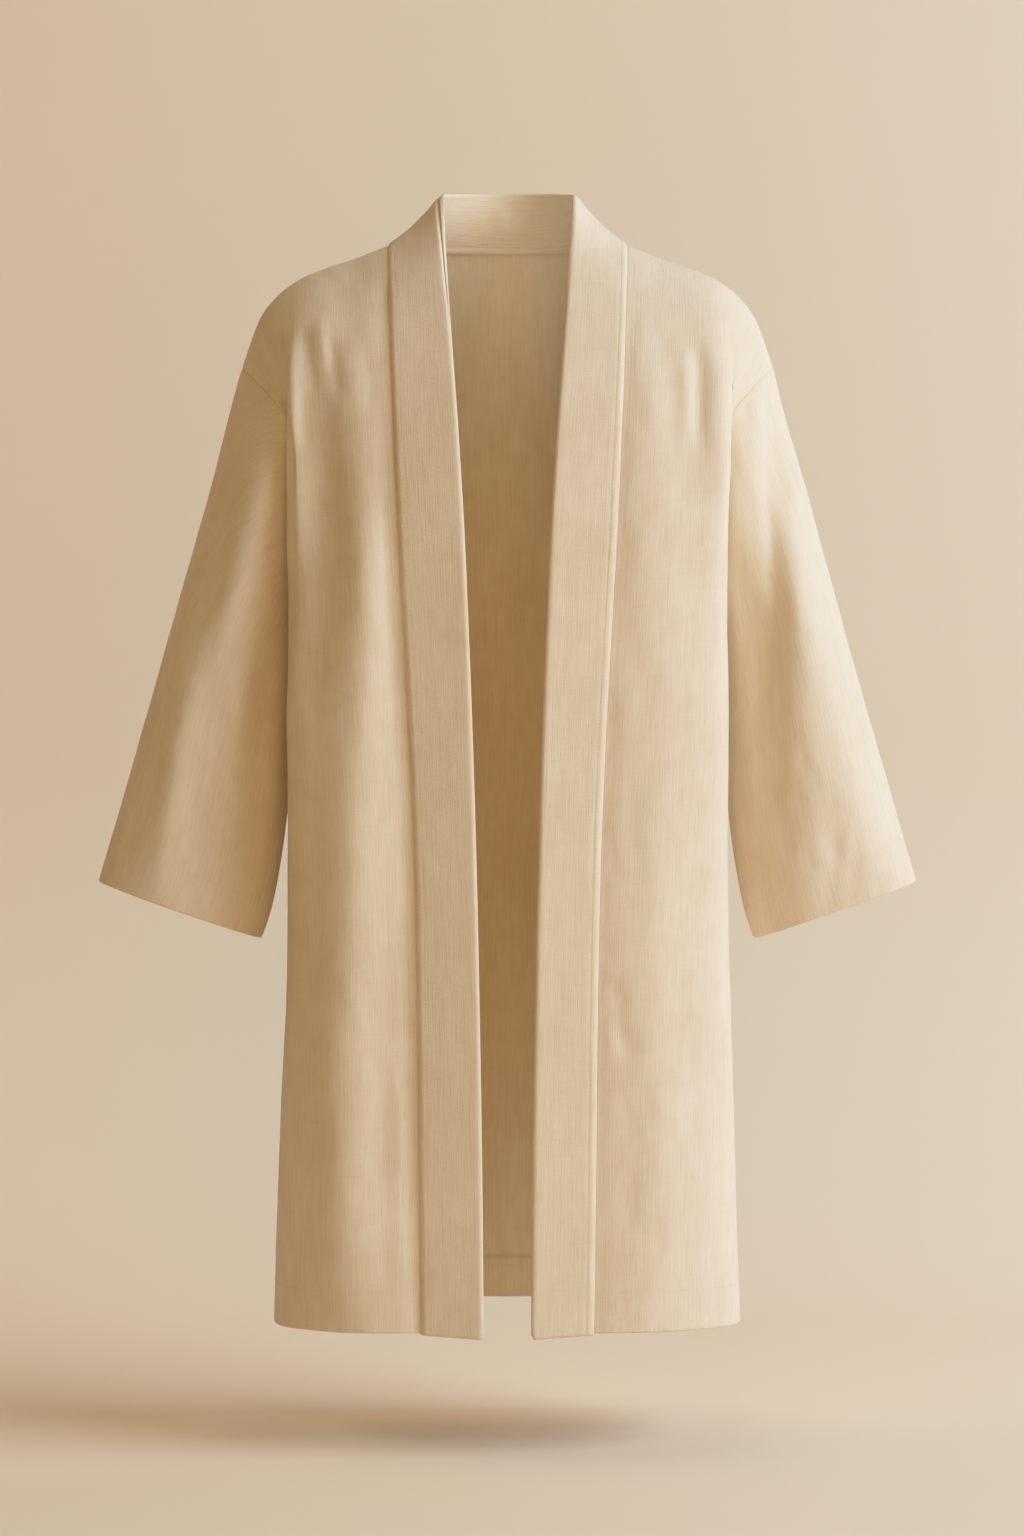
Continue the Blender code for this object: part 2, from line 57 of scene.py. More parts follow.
# Cloth
LINEN_THICKNESS = 0.0010       # one ply of linen
HEM_PLY = 0.0012               # the turned-up ply inside a hem
ALLOWANCE_PLY = 0.0010         # the pressed seam allowance inside a seam
ALLOWANCE_WIDTH = 0.009
SEAM_PULL = 0.0004             # each piece stops this far from the seam line
SEAM_DIP = 0.0007              # the seam sinks this far into the cloth
SEAM_DIP_WIDTH = 0.0035
ARMHOLE_LEAN_WIDTH = 0.010     # sleeve and body sink the same way this far from the armhole seam
ARMHOLE_SPAN = 0.20            # an armhole lies within this distance of its middle
ARMHOLE_SAMPLES = 160
RIM_ROUND = 0.7                # how full the cut and folded edges are rounded

# How finely each piece is cut into rows and columns
YOKE_ROWS = 58
BODY_ROWS = 112
SHOULDER_STRIPS = 46
NECK_STRIPS = 24
SLEEVE_ROWS = 100
HALF_SLEEVE_STRIPS = 60
CURVE_STEPS = 24               # on a seam, between two rows of its table
SECTION_STEPS = 300            # on a plan, before its points are spread
HEM_ROWS = 5                   # inside a turned-up hem
EDGE_STEPS = (0.0, 0.0012, 0.0030, 0.0060, 0.0100)
SHARP_EDGE = math.radians(60)
OTHER_SIDE = np.array([-1, 1, 1])      # turns the wearer's left into the right
BODY_SEAMS = ("first_column", "last_column", "last_row")
SLEEVE_SEAMS = ("first_row",)
EDGES = {                      # each side of a grid of points: its edge, and the line inside it
    "first_row": (np.s_[0], np.s_[1]),
    "last_row": (np.s_[-1], np.s_[-2]),
    "first_column": (np.s_[:, 0], np.s_[:, 1]),
    "last_column": (np.s_[:, -1], np.s_[:, -2]),
}

# Plan of the body below the underarm, where the sleeves hang in a hollow at the side seam.
BODY_COLUMNS = ("height", "front", "corner_x", "corner_y", "side_x", "side_y",
                "back_corner_x", "back_corner_y", "back")
BODY_SECTIONS = (
    (-0.300, 0.112, 0.1950, -0.072, 0.1600, 0.012, 0.1900, 0.080, 0.115),
    (-0.450, 0.116, 0.1950, -0.066, 0.1745, 0.010, 0.1920, 0.074, 0.110),
    (-0.600, 0.121, 0.1975, -0.056, 0.1895, 0.008, 0.1970, 0.064, 0.112),
    (-0.750, 0.126, 0.2030, -0.044, 0.2012, 0.006, 0.2030, 0.052, 0.120),
    (-0.962, 0.131, 0.2085, -0.030, 0.2097, 0.004, 0.2085, 0.038, 0.130),
)

# Where the neckband lies across each front: its sewn edge and its folded edge.
BAND_COLUMNS = ("height", "seam_x", "fold_x")
BAND_LINES = (
    (-0.300, 0.0935, 0.0365),
    (-0.405, 0.0875, 0.0323),
    (-0.540, 0.0815, 0.0280),
    (-0.675, 0.0785, 0.0250),
    (-0.810, 0.0770, 0.0228),
    (-0.962, 0.0750, 0.0213),
)

# The shoulder seam from the neckband to the sleeve, seen from the front: across, height.
SHOULDER_LINE = (
    (0.1070, 0.0045),
    (0.1360, -0.0070),
    (0.1630, -0.0160),
    (0.1860, -0.0255),
    (0.2070, -0.0410),
    (0.2240, -0.0640),
    (0.2390, -0.1060),
)

# The ways the cloth leaves the shoulder seam and the neck on its way down.
FRONT_LEAVES_NECK = (0.00, -0.22, -0.02)
FRONT_LEAVES_TIP = (0.00, -0.16, -0.03)
BACK_LEAVES_CENTRE = (0.00, 0.10, -0.20)
BACK_LEAVES_NECK = (0.10, 0.19, -0.04)
BACK_LEAVES_TIP = (0.00, 0.18, -0.03)
BAND_LEAVES_NECK = (0.00, -0.17, -0.03)

# The armhole seam, from the underarm up the front to the shoulder and down the back: place, across,
# depth, height.
ARMHOLE = (
    ("underarm", 0.1600, 0.012, -0.300),
    ("front_low", 0.1700, -0.036, -0.250),
    ("front_notch", 0.1900, -0.056, -0.168),
    ("front_high", 0.2160, -0.040, -0.130),
    ("top", 0.2390, 0.000, -0.106),
    ("back_high", 0.2170, 0.048, -0.130),
    ("back_notch", 0.1900, 0.072, -0.175),
    ("back_low", 0.1700, 0.054, -0.254),
    ("underarm", 0.1600, 0.012, -0.300),
)

# Neck: the sewn edge of the band and its folded top edge, at the side and at the centre back.
NECK_SEAM_SIDE = (0.1070, 0.000, 0.0045)
NECK_SEAM_BACK = (0.0000, 0.075, 0.0060)
NECK_FOLD_SIDE = (0.0605, 0.000, 0.0495)
NECK_FOLD_BACK = (0.0000, 0.061, 0.0580)

# Cuff: the outer and inner corners in front view, and the opening's depth from front to back.
CUFF_OUTER = (0.3670, -0.567)
CUFF_INNER = (0.2210, -0.618)
CUFF_CENTRE_DEPTH = -0.008
CUFF_OPENING = 0.086
SLEEVE_LEAVES_TOP = (0.112, 0.0, -0.420)
SLEEVE_LEAVES_SIDE = (0.200, 0.0, -0.320)
SLEEVE_LEAVES_UNDERARM = (0.120, 0.0, -0.090)
SLEEVE_ARRIVES_OUTER = (0.116, 0.0, -0.390)
SLEEVE_ARRIVES_INNER = (0.160, 0.0, -0.370)

# Largest folds, as on the solids. Across runs from the neckband (0) to the side (1) on a front, from
# the wearer's left side (0) to the right (1) on the back, and once round a sleeve from its top.
FOLD_COLUMNS = ("across_top", "across_foot", "top", "foot", "half_width", "lift")
FOLDS = {
    "front_left": (
        (0.60, 0.56, -0.070, -0.250, 0.14, -0.0045),
        (0.30, 0.34, -0.260, -1.000, 0.22, 0.0020),
        (0.50, 0.52, -0.300, -1.000, 0.22, 0.0030),
    ),
    "front_right": (
        (0.52, 0.28, -0.080, -0.360, 0.17, -0.0055),
        (0.15, 0.35, -0.200, -1.000, 0.20, 0.0105),
        (0.70, 0.72, -0.380, -1.000, 0.17, -0.0050),
    ),
    "back": (
        (0.36, 0.30, -0.120, -1.000, 0.08, -0.0060),
        (0.45, 0.44, -0.200, -1.000, 0.07, 0.0050),
        (0.66, 0.70, -0.100, -1.000, 0.08, -0.0065),
        (0.57, 0.56, -0.260, -1.000, 0.07, 0.0040),
    ),
    "sleeve_left": (
        (0.33, 0.30, -0.210, -0.640, 0.09, -0.0060),
        (0.18, 0.16, -0.240, -0.640, 0.08, 0.0040),
        (0.72, 0.74, -0.200, -0.640, 0.09, -0.0060),
    ),
    "sleeve_right": (
        (0.20, 0.19, -0.170, -0.640, 0.08, 0.0050),
        (0.35, 0.32, -0.260, -0.640, 0.09, -0.0060),
        (0.70, 0.72, -0.180, -0.640, 0.09, -0.0060),
    ),
}
FOLD_ENDS = 0.16               # height over which a fold grows from nothing
FOLD_CLEAR_OF_SEAM = 0.09      # share of the width beside a seam that stays unfolded

# Creases, in millimetres as they are seen from the front or, on the back faces, from behind without
# turning left and right round: the two ends, how far the crease bows, its half width and its lift.
CREASE_COLUMNS = ("x_top", "z_top", "x_foot", "z_foot", "bow", "half_width", "lift")
FRONT_CREASES = {
    "front_right": (
        (-181, -66, -169, -140, 2, 6, -2.4),
        (-157, -79, -145, -145, 2, 5, -1.8),
        (-167, -58, -156, -122, 2, 6, 1.8),
        (-124, -84, -118, -162, 0, 7, -1.0),
        (-191, -70, -192, -200, 0, 6, 5.0),
        (-174, -80, -174, -430, 0, 48, -9.5),
        (-142, -60, -116, -380, 0, 19, 3.0),
        (-158, -330, -160, -860, 0, 24, 3.5),
        (-128, -760, -122, -1120, 0, 34, 5.5),
        (-108, -150, -102, -480, 0, 13, -2.0),
        (-86, -420, -80, -955, 0, 8, -2.2),
        (-130, -640, -112, -700, 2, 6, -0.6),
        (-104, -700, -92, -770, 2, 7, 0.6),
        (-138, -800, -120, -850, 2, 7, -0.6),
    ),
    "front_left": (
        (169, -72, 170, -200, 0, 8, -4.0),
        (116, -40, 120, -420, 0, 30, 2.0),
        (172, -110, 176, -420, 0, 36, -4.0),
        (118, -260, 122, -1120, 0, 34, 2.0),
        (178, -260, 180, -1120, 0, 42, -6.5),
        (197, -80, 194, -260, 0, 16, 5.0),
        (159, -84, 160, -188, 0, 9, 1.2),
        (116, -75, 129, -180, 0, 9, 0.8),
        (140, -84, 151, -171, 0, 8, -0.7),
        (103, -240, 106, -420, 2, 11, -0.8),
        (104, -440, 118, -590, 3, 10, -0.8),
        (92, -640, 112, -730, 2, 9, -1.4),
        (99, -690, 112, -955, -3, 13, -1.2),
        (85, -546, 103, -568, 1, 5, -0.8),
        (88, -651, 103, -678, 1, 5, -0.8),
        (91, -678, 109, -721, 2, 5, -0.9),
        (116, -738, 125, -782, 1, 6, -0.7),
        (97, -826, 112, -869, 1, 6, -0.8),
        (130, -600, 139, -660, 1, 7, -0.5),
        (128, -840, 137, -900, 1, 7, -0.5),
    ),
    "sleeve_right": (
        (-272, -200, -312, -650, 0, 15, 3.5),
        (-258, -150, -280, -640, 0, 27, -5.5),
        (-238, -320, -240, -640, 0, 14, 2.5),
        (-214, -150, -216, -420, 0, 18, 3.0),
        (-300, -520, -290, -570, 1, 7, -0.7),
        (-250, -540, -243, -590, 1, 8, -0.8),
    ),
    "sleeve_left": (
        (201, -170, 196, -360, 0, 14, 7.0),
        (242, -100, 231, -430, 0, 14, -8.0),
        (252, -170, 262, -480, -3, 16, 2.0),
        (252, -330, 266, -660, 0, 24, 7.0),
        (206, -112, 212, -160, 0, 6, -3.0),
        (206, -380, 216, -612, 0, 18, -2.5),
        (248, -423, 261, -450, 1, 5, -0.8),
        (261, -445, 275, -486, 2, 5, -1.0),
        (257, -477, 272, -521, 2, 5, -1.0),
        (266, -530, 277, -566, 1, 5, -0.8),
        (288, -521, 295, -557, 1, 6, -0.6),
        (275, -445, 290, -500, 2, 6, 0.6),
    ),
}
BACK_CREASES = {
    "back": (
        (-130, -90, -112, -230, 4, 12, -2.5),
        (125, -95, 110, -240, -4, 12, -2.2),
        (-150, -70, -136, -150, 2, 6, -1.5),
        (146, -75, 130, -165, -2, 6, -1.6),
        (-60, -180, -75, -520, 5, 16, -2.2),
        (70, -200, 62, -600, 0, 15, 2.2),
        (-110, -500, -118, -950, 0, 14, 2.5),
        (120, -520, 110, -950, 0, 14, -2.5),
        (150, -330, 158, -640, 3, 12, 2.0),
        (-146, -300, -152, -560, -3, 12, -2.0),
        (30, -620, 44, -700, 3, 7, -1.0),
        (-40, -700, -26, -790, 3, 7, -1.0),
        (86, -760, 98, -840, 2, 6, -0.9),
    ),
    "sleeve_right": (
        (-240, -170, -222, -330, 4, 12, -3.0),
        (-262, -230, -268, -560, 0, 14, 3.0),
        (-300, -430, -306, -580, 2, 9, -1.5),
        (-246, -470, -238, -560, 2, 6, -1.2),
    ),
    "sleeve_left": (
        (236, -180, 220, -360, -4, 12, -3.0),
        (268, -260, 262, -560, 0, 14, 2.8),
        (296, -400, 312, -560, -2, 9, -1.6),
        (240, -480, 250, -570, 2, 6, -1.2),
    ),
}
BAND_CREASES = (
    (-13, 50, 1, 22, 1, 5, -0.8),
    (4, 52, 9, 28, 1, 5, 0.6),
    (-40, 40, -28, 20, 1, 7, 0.5),
    (30, 46, 24, 24, 1, 7, -0.5),
)
CREASE_ENDS = 0.35             # share of a crease over which it grows from nothing
CREASE_CLEAR_OF_SEAM = 0.012   # the cloth lies flat this close to a seam
CREASE_FADE = 1.5              # how quickly creases fade where the cloth turns to the side
RUMPLE_SEED = 7
RUMPLE_WAVES = 28
RUMPLE_LIFT = 0.00010          # the small unevenness of washed linen
RUMPLE_LENGTHS = (0.014, 0.055)
RUMPLE_STRENGTHS = (0.4, 1.0)
RUMPLE_LEAN = 0.30             # spread of the waves' lean, in radians

# Neckband across its width: how far from the nearer edge, how far the cloth stands above and below the
# band's middle there, and the shares of the stitched ditch and of the fronts' sinking that it takes.
BAND_COLUMNS_ACROSS = ("from_fold", "from_seam", "outer", "inner", "ditch", "sinks")
BAND_PROFILE = (
    (-0.0008, None, -0.0004, 0.0010, 0.0, 0.0),
    (-0.0005, None, 0.0000, 0.0015, 0.0, 0.0),
    (-0.0002, None, 0.0003, 0.0018, 0.0, 0.0),
    (0.0002, None, 0.0006, 0.0019, 0.0, 0.0),
    (0.0010, None, 0.0011, 0.0020, 0.0, 0.0),
    (0.0024, None, 0.0014, 0.0019, 0.0, 0.0),
    (0.0050, None, 0.0014, 0.0018, 0.0, 0.0),
    (0.0110, None, 0.0013, 0.0018, 0.0, 0.0),
    (0.0190, None, 0.0013, 0.0018, 0.0, 0.0),
    (None, 0.0260, 0.0013, 0.0018, 0.0, 0.0),
    (None, 0.0180, 0.0013, 0.0018, 0.0, 0.0),
    (None, 0.0110, 0.0013, 0.0018, 0.0, 0.0),
    (None, 0.0076, 0.0013, 0.0018, 0.0, 0.0),
    (None, 0.0070, 0.0013, 0.0018, 0.5, 0.0),
    (None, 0.0065, 0.0013, 0.0018, 1.0, 0.0),
    (None, 0.0060, 0.0013, 0.0018, 0.5, 0.0),
    (None, 0.0054, 0.0013, 0.0020, 0.0, 0.0),
    (None, 0.0036, 0.0012, 0.0023, 0.0, 0.05),
    (None, 0.0020, 0.0009, 0.0025, 0.0, 0.25),
    (None, 0.0006, 0.0004, 0.0024, 0.0, 0.6),
    (None, -0.0008, -0.0003, 0.0020, 0.0, 0.95),
)
BAND_STITCH_COLUMN = 14
BAND_DITCH_LEFT = 0.0002       # depth of the stitched ditch on the wearer's left
BAND_DITCH_RIGHT = 0.0001      # and on the wearer's right, where it is pressed flat
BAND_VALLEY_LEFT = 0.0006      # the wearer's left front sinks this far towards the neckband
BAND_VALLEY_RIGHT = 0.0020     # and the right front
BAND_VALLEY_WIDTH = 0.020
BAND_VALLEY_ENDS = 0.060       # below the shoulder seam, where the sinking is whole
BAND_END_SLANT = 0.0032        # the ends rise this far from the fold to the sewn edge
BAND_CORNER = 0.0030           # radius of the corner at the fold
BAND_TILT_LEFT = 0.0060        # the folded edge stands this far forward on the wearer's left
BAND_TILT_RIGHT = 0.0080       # and on the wearer's right
BAND_TILT_ENDS = 0.20          # below the shoulder seam, where the tilt is whole
BAND_SAG = 0.0035              # the band's middle lies this far in beside and behind the neck
BAND_SAG_ENDS = 0.050          # below the shoulder seam, where the sag has gone
BAND_SIDES = {"front_left": "first_column", "front_right": "last_column", "back": "last_row"}

# Beside the wearer's right neck the inner ply shows past the fold: height, width.
LIP_HEIGHTS = ((-0.090, 0.0), (-0.030, 0.0024), (0.000, 0.0034), (0.035, 0.0058), (0.0495, 0.0060))
LIP_TURN = 0.020               # depth behind the side of the neck where it has gone
LIP_SHIFT = 0.8                # share of the lip by which the outer ply is drawn back
LIP_SHIFT_ENDS = 0.0190        # across the band, where the outer ply is no longer drawn back
LIP_SPREAD = (1.0, 0.6, 0.25)  # shares of the lip at its edge, on its crown and in the slit beside it
LIP_SINK = (0.10, 0.0, 0.38)   # shares of the lip by which the outer face sinks at these three
LIP_UNDER = 0.3                # share of the lip by which the inner face stands off
LIP_UNDER_COLUMNS = 5          # in the columns nearest the fold

# Stitches
STITCH_PITCH = 0.0032
STITCH_LENGTH = 0.0025
THREAD_RADIUS = 0.00024
STITCH_SIZES = (0.88, 1.08)    # smallest and largest, as shares
STITCH_SEED = 3
HEM_STITCH_INSETS = (0.0008, 0.0046)   # from the top of the turned-up ply down to its stitches
NECK_STITCH_ROW = -4           # row of the back's cloth, about 5 mm below the neck seam, that is stitched
NECK_STITCH_ENDS = 0.006       # the stitches stop this far short of the shoulder seams


def column(rows, names, name):
    """One named column of a table, as numbers."""
    return np.array([row[names.index(name)] for row in rows], float)


def slopes_of(at, values):
    """Slopes for a smooth curve through a table's values, with no overshoot."""
    steps = np.diff(values) / np.diff(at)
    slopes = np.concatenate([steps[:1], (steps[1:] + steps[:-1]) / 2, steps[-1:]])
    turning = steps[1:] * steps[:-1] <= 0
    slopes[1:-1][turning] = 0
    return slopes


def smooth(at, values, where):
    """Values of a table between its rows, on a smooth curve."""
    order = np.argsort(at)
    at, values = np.asarray(at)[order], np.asarray(values)[order]
    slopes = slopes_of(at, values)
    where = np.clip(where, at[0], at[-1])
    i = np.clip(np.searchsorted(at, where) - 1, 0, len(at) - 2)
    span = at[i + 1] - at[i]
    return hermite(values[i], values[i + 1], slopes[i] * span, slopes[i + 1] * span, (where - at[i]) / span)


def hermite(start, end, leaving, arriving, t):
    """Cubic from start to end with the given end tangents."""
    return (
        (2 * t**3 - 3 * t**2 + 1) * start
        + (t**3 - 2 * t**2 + t) * leaving
        + (3 * t**2 - 2 * t**3) * end
        + (t**3 - t**2) * arriving
    )


def ease(t):
    """0 below 0, 1 above 1, and smooth between."""
    t = np.clip(t, 0, 1)
    return t * t * (3 - 2 * t)


def blend(start, end, share):
    """A value or place at a share of the way from one to another."""
    return np.asarray(start) * (1 - share) + np.asarray(end) * share


def unit(vectors):
    return vectors / np.maximum(np.linalg.norm(vectors, axis=-1, keepdims=True), 1e-12)


def lengths_along(points):
    """Distance of each point along a line of points."""
    steps = np.linalg.norm(np.diff(points, axis=0), axis=1)
    return np.concatenate([[0], np.cumsum(steps)])


def at_lengths(points, wanted):
    """Points at the wanted distances along a line of points."""
    along = lengths_along(points)
    return np.stack([np.interp(wanted, along, points[:, k]) for k in range(3)], axis=1)


def spread(points, count, close_start=True, close_end=True):
    """Points spread evenly along a line, with closer ones beside the ends that are seams."""
    total = lengths_along(points)[-1]
    near = np.array(EDGE_STEPS)
    first = near if close_start else near[:1]
    last = total - near[::-1] if close_end else total - near[:1]
    middle = np.linspace(first[-1], last[0], count + 1)[1:-1]
    return at_lengths(points, np.concatenate([first, middle, last]))


def through(points):
    """A smooth curve through a few points."""
    points = np.asarray(points, float)
    padded = np.concatenate([2 * points[:1] - points[1:2], points, 2 * points[-1:] - points[-2:-1]])
    t = np.linspace(0, 1, CURVE_STEPS, endpoint=False)[:, None]
    pieces = [
        hermite(b, c, (c - a) / 2, (d - b) / 2, t)
        for a, b, c, d in zip(padded, padded[1:], padded[2:], padded[3:])
    ]
    return np.concatenate(pieces + [points[-1:]])


def at_height(rows, names, name, height):
    """A named column of a table of heights, at any height."""
    return smooth(column(rows, names, "height"), column(rows, names, name), height)


def body_size(name, height):
    return at_height(BODY_SECTIONS, BODY_COLUMNS, name, height)


def band_line(name, height):
    return at_height(BAND_LINES, BAND_COLUMNS, name, height)


def front_depth(across, height):
    """Depth of the front at a place across it, from the plan of that height."""
    corner_x, corner_y = body_size("corner_x", height), body_size("corner_y", height)
    bulge = (1 - np.clip(across / corner_x, 0, 1) ** FRONT_POWER) ** (1 / FRONT_POWER)
    return corner_y - (body_size("front", height) + corner_y) * bulge


def quarter(height, corner_x, corner_y, centre_depth, first_x, power):
    """Plan from a place on the front or the back round to its corner."""
    turn = np.linspace(0, np.pi / 2, SECTION_STEPS)
    x = corner_x * np.sin(turn) ** (2 / power)
    y = corner_y + (centre_depth - corner_y) * np.cos(turn) ** (2 / power)
    keep = x > first_x
    start = [first_x, np.interp(first_x, x, y)]
    plan = np.concatenate([[start], np.stack([x[keep], y[keep]], axis=1)])
    return np.concatenate([plan, np.full((len(plan), 1), height)], axis=1)


def hollow(height, corner_x, corner_y):
    """Plan from a corner in to the side seam."""
    t = np.linspace(0, 1, SECTION_STEPS)[1:]
    side_x, side_y = body_size("side_x", height), body_size("side_y", height)
    x = side_x + (corner_x - side_x) * ((1 + np.cos(np.pi * t)) / 2) ** HOLLOW_POWER
    return np.stack([x, corner_y + (side_y - corner_y) * t, np.full(len(t), height)], axis=1)


def front_section(height):
    """The wearer's left front in plan, from the neckband seam to the side seam."""
    corner_x, corner_y = body_size("corner_x", height), body_size("corner_y", height)
    depth, seam_x = -body_size("front", height), band_line("seam_x", height)
    curve = quarter(height, corner_x, corner_y, depth, seam_x, FRONT_POWER)
    return np.concatenate([curve, hollow(height, corner_x, corner_y)])


def back_section(height):
    """The back's left half in plan, from the centre to the side seam."""
    corner_x, corner_y = body_size("back_corner_x", height), body_size("back_corner_y", height)
    curve = quarter(height, corner_x, corner_y, body_size("back", height), 0.0, BACK_POWER)
    return np.concatenate([curve, hollow(height, corner_x, corner_y)])


def armhole_halves(shares):
    """The front and the back of the armhole seam, at shares of the way from shoulder to underarm."""
    places = [row[0] for row in ARMHOLE]
    loop = through([row[1:] for row in ARMHOLE])
    top = places.index("top") * CURVE_STEPS
    halves = loop[: top + 1][::-1], loop[top:]
    return [at_lengths(half, shares * lengths_along(half)[-1]) for half in halves]


def shoulder_line():
    """The left shoulder seam, which lies in the plane of the shoulders."""
    return through([(across, 0, height) for across, height in SHOULDER_LINE])


def yoke_shares():
    """Rows of the yoke as shares of the way down, closer together beside the shoulder seam."""
    near = np.array(EDGE_STEPS) / abs(UNDERARM)
    return np.concatenate([near, np.linspace(near[-1], 1, YOKE_ROWS)[1:]])


def yoke(top, leaving, section_at, armhole):
    """Columns of cloth from the shoulder down to the underarm, as rows from the bottom up."""
    foot = section_at(UNDERARM)
    falling = unit(section_at(UNDERARM - FALL_STEP) - foot)
    reach = np.linalg.norm(foot - top, axis=1, keepdims=True)
    rows = np.array([hermite(top, foot, leaving, falling * reach, t) for t in yoke_shares()])
    share = lengths_along(foot) / lengths_along(foot)[-1]
    rows += (armhole - rows[:, -1])[:, None, :] * share[None, :, None] ** ARMHOLE_REACH
    return rows[::-1]


def body_heights():
    """Heights of the rows from the hem to the underarm, closer at the hem and at the top of its turn-up."""
    hem = -BODY_LENGTH
    turned = hem + HEM_TURN_UP
    low = np.linspace(hem + EDGE_STEPS[-1], turned - EDGE_STEPS[1], HEM_ROWS)
    above = np.linspace(turned + EDGE_STEPS[1], UNDERARM, BODY_ROWS)
    return np.concatenate([hem + np.array(EDGE_STEPS[:-1]), low, [turned], above])


def front_grid():
    """The wearer's left front: rows from hem to shoulder, columns from neckband to side."""
    def section_at(height):
        return spread(front_section(height), SHOULDER_STRIPS)

    top = spread(shoulder_line(), SHOULDER_STRIPS)
    across = (lengths_along(top) / lengths_along(top)[-1])[:, None]
    leaving = blend(FRONT_LEAVES_NECK, FRONT_LEAVES_TIP, across)
    lower = np.array([section_at(z) for z in body_heights()])
    upper = yoke(top, leaving, section_at, armhole_halves(yoke_shares())[0])
    return np.concatenate([lower, upper[1:]])


def neck_curve(side, back, count):
    """A quarter turn from the side of the neck to the centre back."""
    turn = np.linspace(0, np.pi / 2, count)[:, None]
    side, back = np.array(side), np.array(back)
    across_depth = side * np.cos(turn) + back * np.sin(turn)
    height = side[2] + (back[2] - side[2]) * np.sin(turn)
    return np.concatenate([across_depth[:, :2], height], axis=1)


def back_grid():
    """The back: rows from hem to shoulder, columns from the wearer's left side to the right."""
    def section_at(height):
        points = back_section(height)
        split = np.argmax(points[:, 0] >= NECK_SEAM_SIDE[0])
        neck = spread(points[: split + 1], NECK_STRIPS, False, False)
        shoulder = spread(points[split:], SHOULDER_STRIPS, False, True)
        return np.concatenate([neck, shoulder[1:]])

    neck = neck_curve(NECK_SEAM_SIDE, NECK_SEAM_BACK, NECK_STRIPS + 1)[::-1]
    shoulder = spread(shoulder_line(), SHOULDER_STRIPS, False, True)[1:]
    beside = np.linspace(0, 1, NECK_STRIPS + 1)[:, None]
    at_neck = blend(BACK_LEAVES_CENTRE, BACK_LEAVES_NECK, beside)
    along = np.linspace(0, 1, len(shoulder) + 1)[1:, None]
    at_shoulder = blend(BACK_LEAVES_NECK, BACK_LEAVES_TIP, along)
    lower = np.array([section_at(z) for z in body_heights()])
    leaving = np.concatenate([at_neck, at_shoulder])
    upper = yoke(np.concatenate([neck, shoulder]), leaving, section_at, armhole_halves(yoke_shares())[1])
    half = np.concatenate([lower, upper[1:]])
    return np.concatenate([half[:, ::-1], half[:, 1:] * OTHER_SIDE], axis=1)


def sleeve_grid():
    """The wearer's left sleeve: rows from armhole to cuff, columns once round from its top."""
    front, back = armhole_halves(np.linspace(0, 1, HALF_SLEEVE_STRIPS + 1))
    start = np.concatenate([front, back[1:-1][::-1]])
    turn = np.linspace(0, 2 * np.pi, len(start), endpoint=False)[:, None]
    outer = np.array([CUFF_OUTER[0], CUFF_CENTRE_DEPTH, CUFF_OUTER[1]])
    inner = np.array([CUFF_INNER[0], CUFF_CENTRE_DEPTH, CUFF_INNER[1]])
    deep = np.array([0, -CUFF_OPENING / 2, 0])
    end = (outer + inner) / 2 + (outer - inner) / 2 * np.cos(turn) + deep * np.sin(turn)
    reach = np.linalg.norm(end - start, axis=1, keepdims=True)
    near = np.array(EDGE_STEPS) / reach.max()
    turned = 1 - HEM_TURN_UP / reach.max()
    hem = np.array([turned - near[1], turned, turned + near[1]])
    along = np.concatenate([near, np.linspace(near[-1], hem[0], SLEEVE_ROWS)[1:-1], hem,
                            np.linspace(hem[-1], 1 - near[-1], HEM_ROWS)[1:-1], 1 - near[::-1]])
    top, underarm = np.maximum(np.cos(turn), 0) ** 2, np.maximum(-np.cos(turn), 0) ** 2
    leaving = (
        np.array(SLEEVE_LEAVES_TOP) * top
        + np.array(SLEEVE_LEAVES_UNDERARM) * underarm
        + np.array(SLEEVE_LEAVES_SIDE) * np.sin(turn) ** 2
    )
    inside = (1 - np.cos(turn)) / 2
    arriving = blend(SLEEVE_ARRIVES_OUTER, SLEEVE_ARRIVES_INNER, inside) * reach / reach.max()
    return np.array([hermite(start, end, leaving, arriving, t) for t in along])


def band_edges(front):
    """The neckband's folded and sewn edges, from the left front hem round the neck to the right."""
    heights = body_heights()
    heights[: len(EDGE_STEPS)] -= BAND_LONGER * (1 - np.array(EDGE_STEPS) / EDGE_STEPS[-1])
    fold_x = band_line("fold_x", heights)
    fold_front = np.stack([fold_x, front_depth(fold_x, heights), heights], axis=1)
    seam_front = front[:, 0].copy()
    seam_front[: len(heights), 2] = heights
    foot, side = fold_front[-1], np.array(NECK_FOLD_SIDE)
    arriving = unit(fold_front[-2] - foot) * np.linalg.norm(side - foot)
    share = yoke_shares()[::-1][1:, None]
    fold_yoke = hermite(side, foot, np.array(BAND_LEAVES_NECK), arriving, share)
    fold_neck = neck_curve(NECK_FOLD_SIDE, NECK_FOLD_BACK, NECK_STRIPS + 1)[1:]
    seam_neck = neck_curve(NECK_SEAM_SIDE, NECK_SEAM_BACK, NECK_STRIPS + 1)[1:]
    fold = np.concatenate([fold_front, fold_yoke, fold_neck])
    seam = np.concatenate([seam_front, seam_neck])
    return [np.concatenate([edge, edge[-2::-1] * OTHER_SIDE])[:, None] for edge in (fold, seam)]


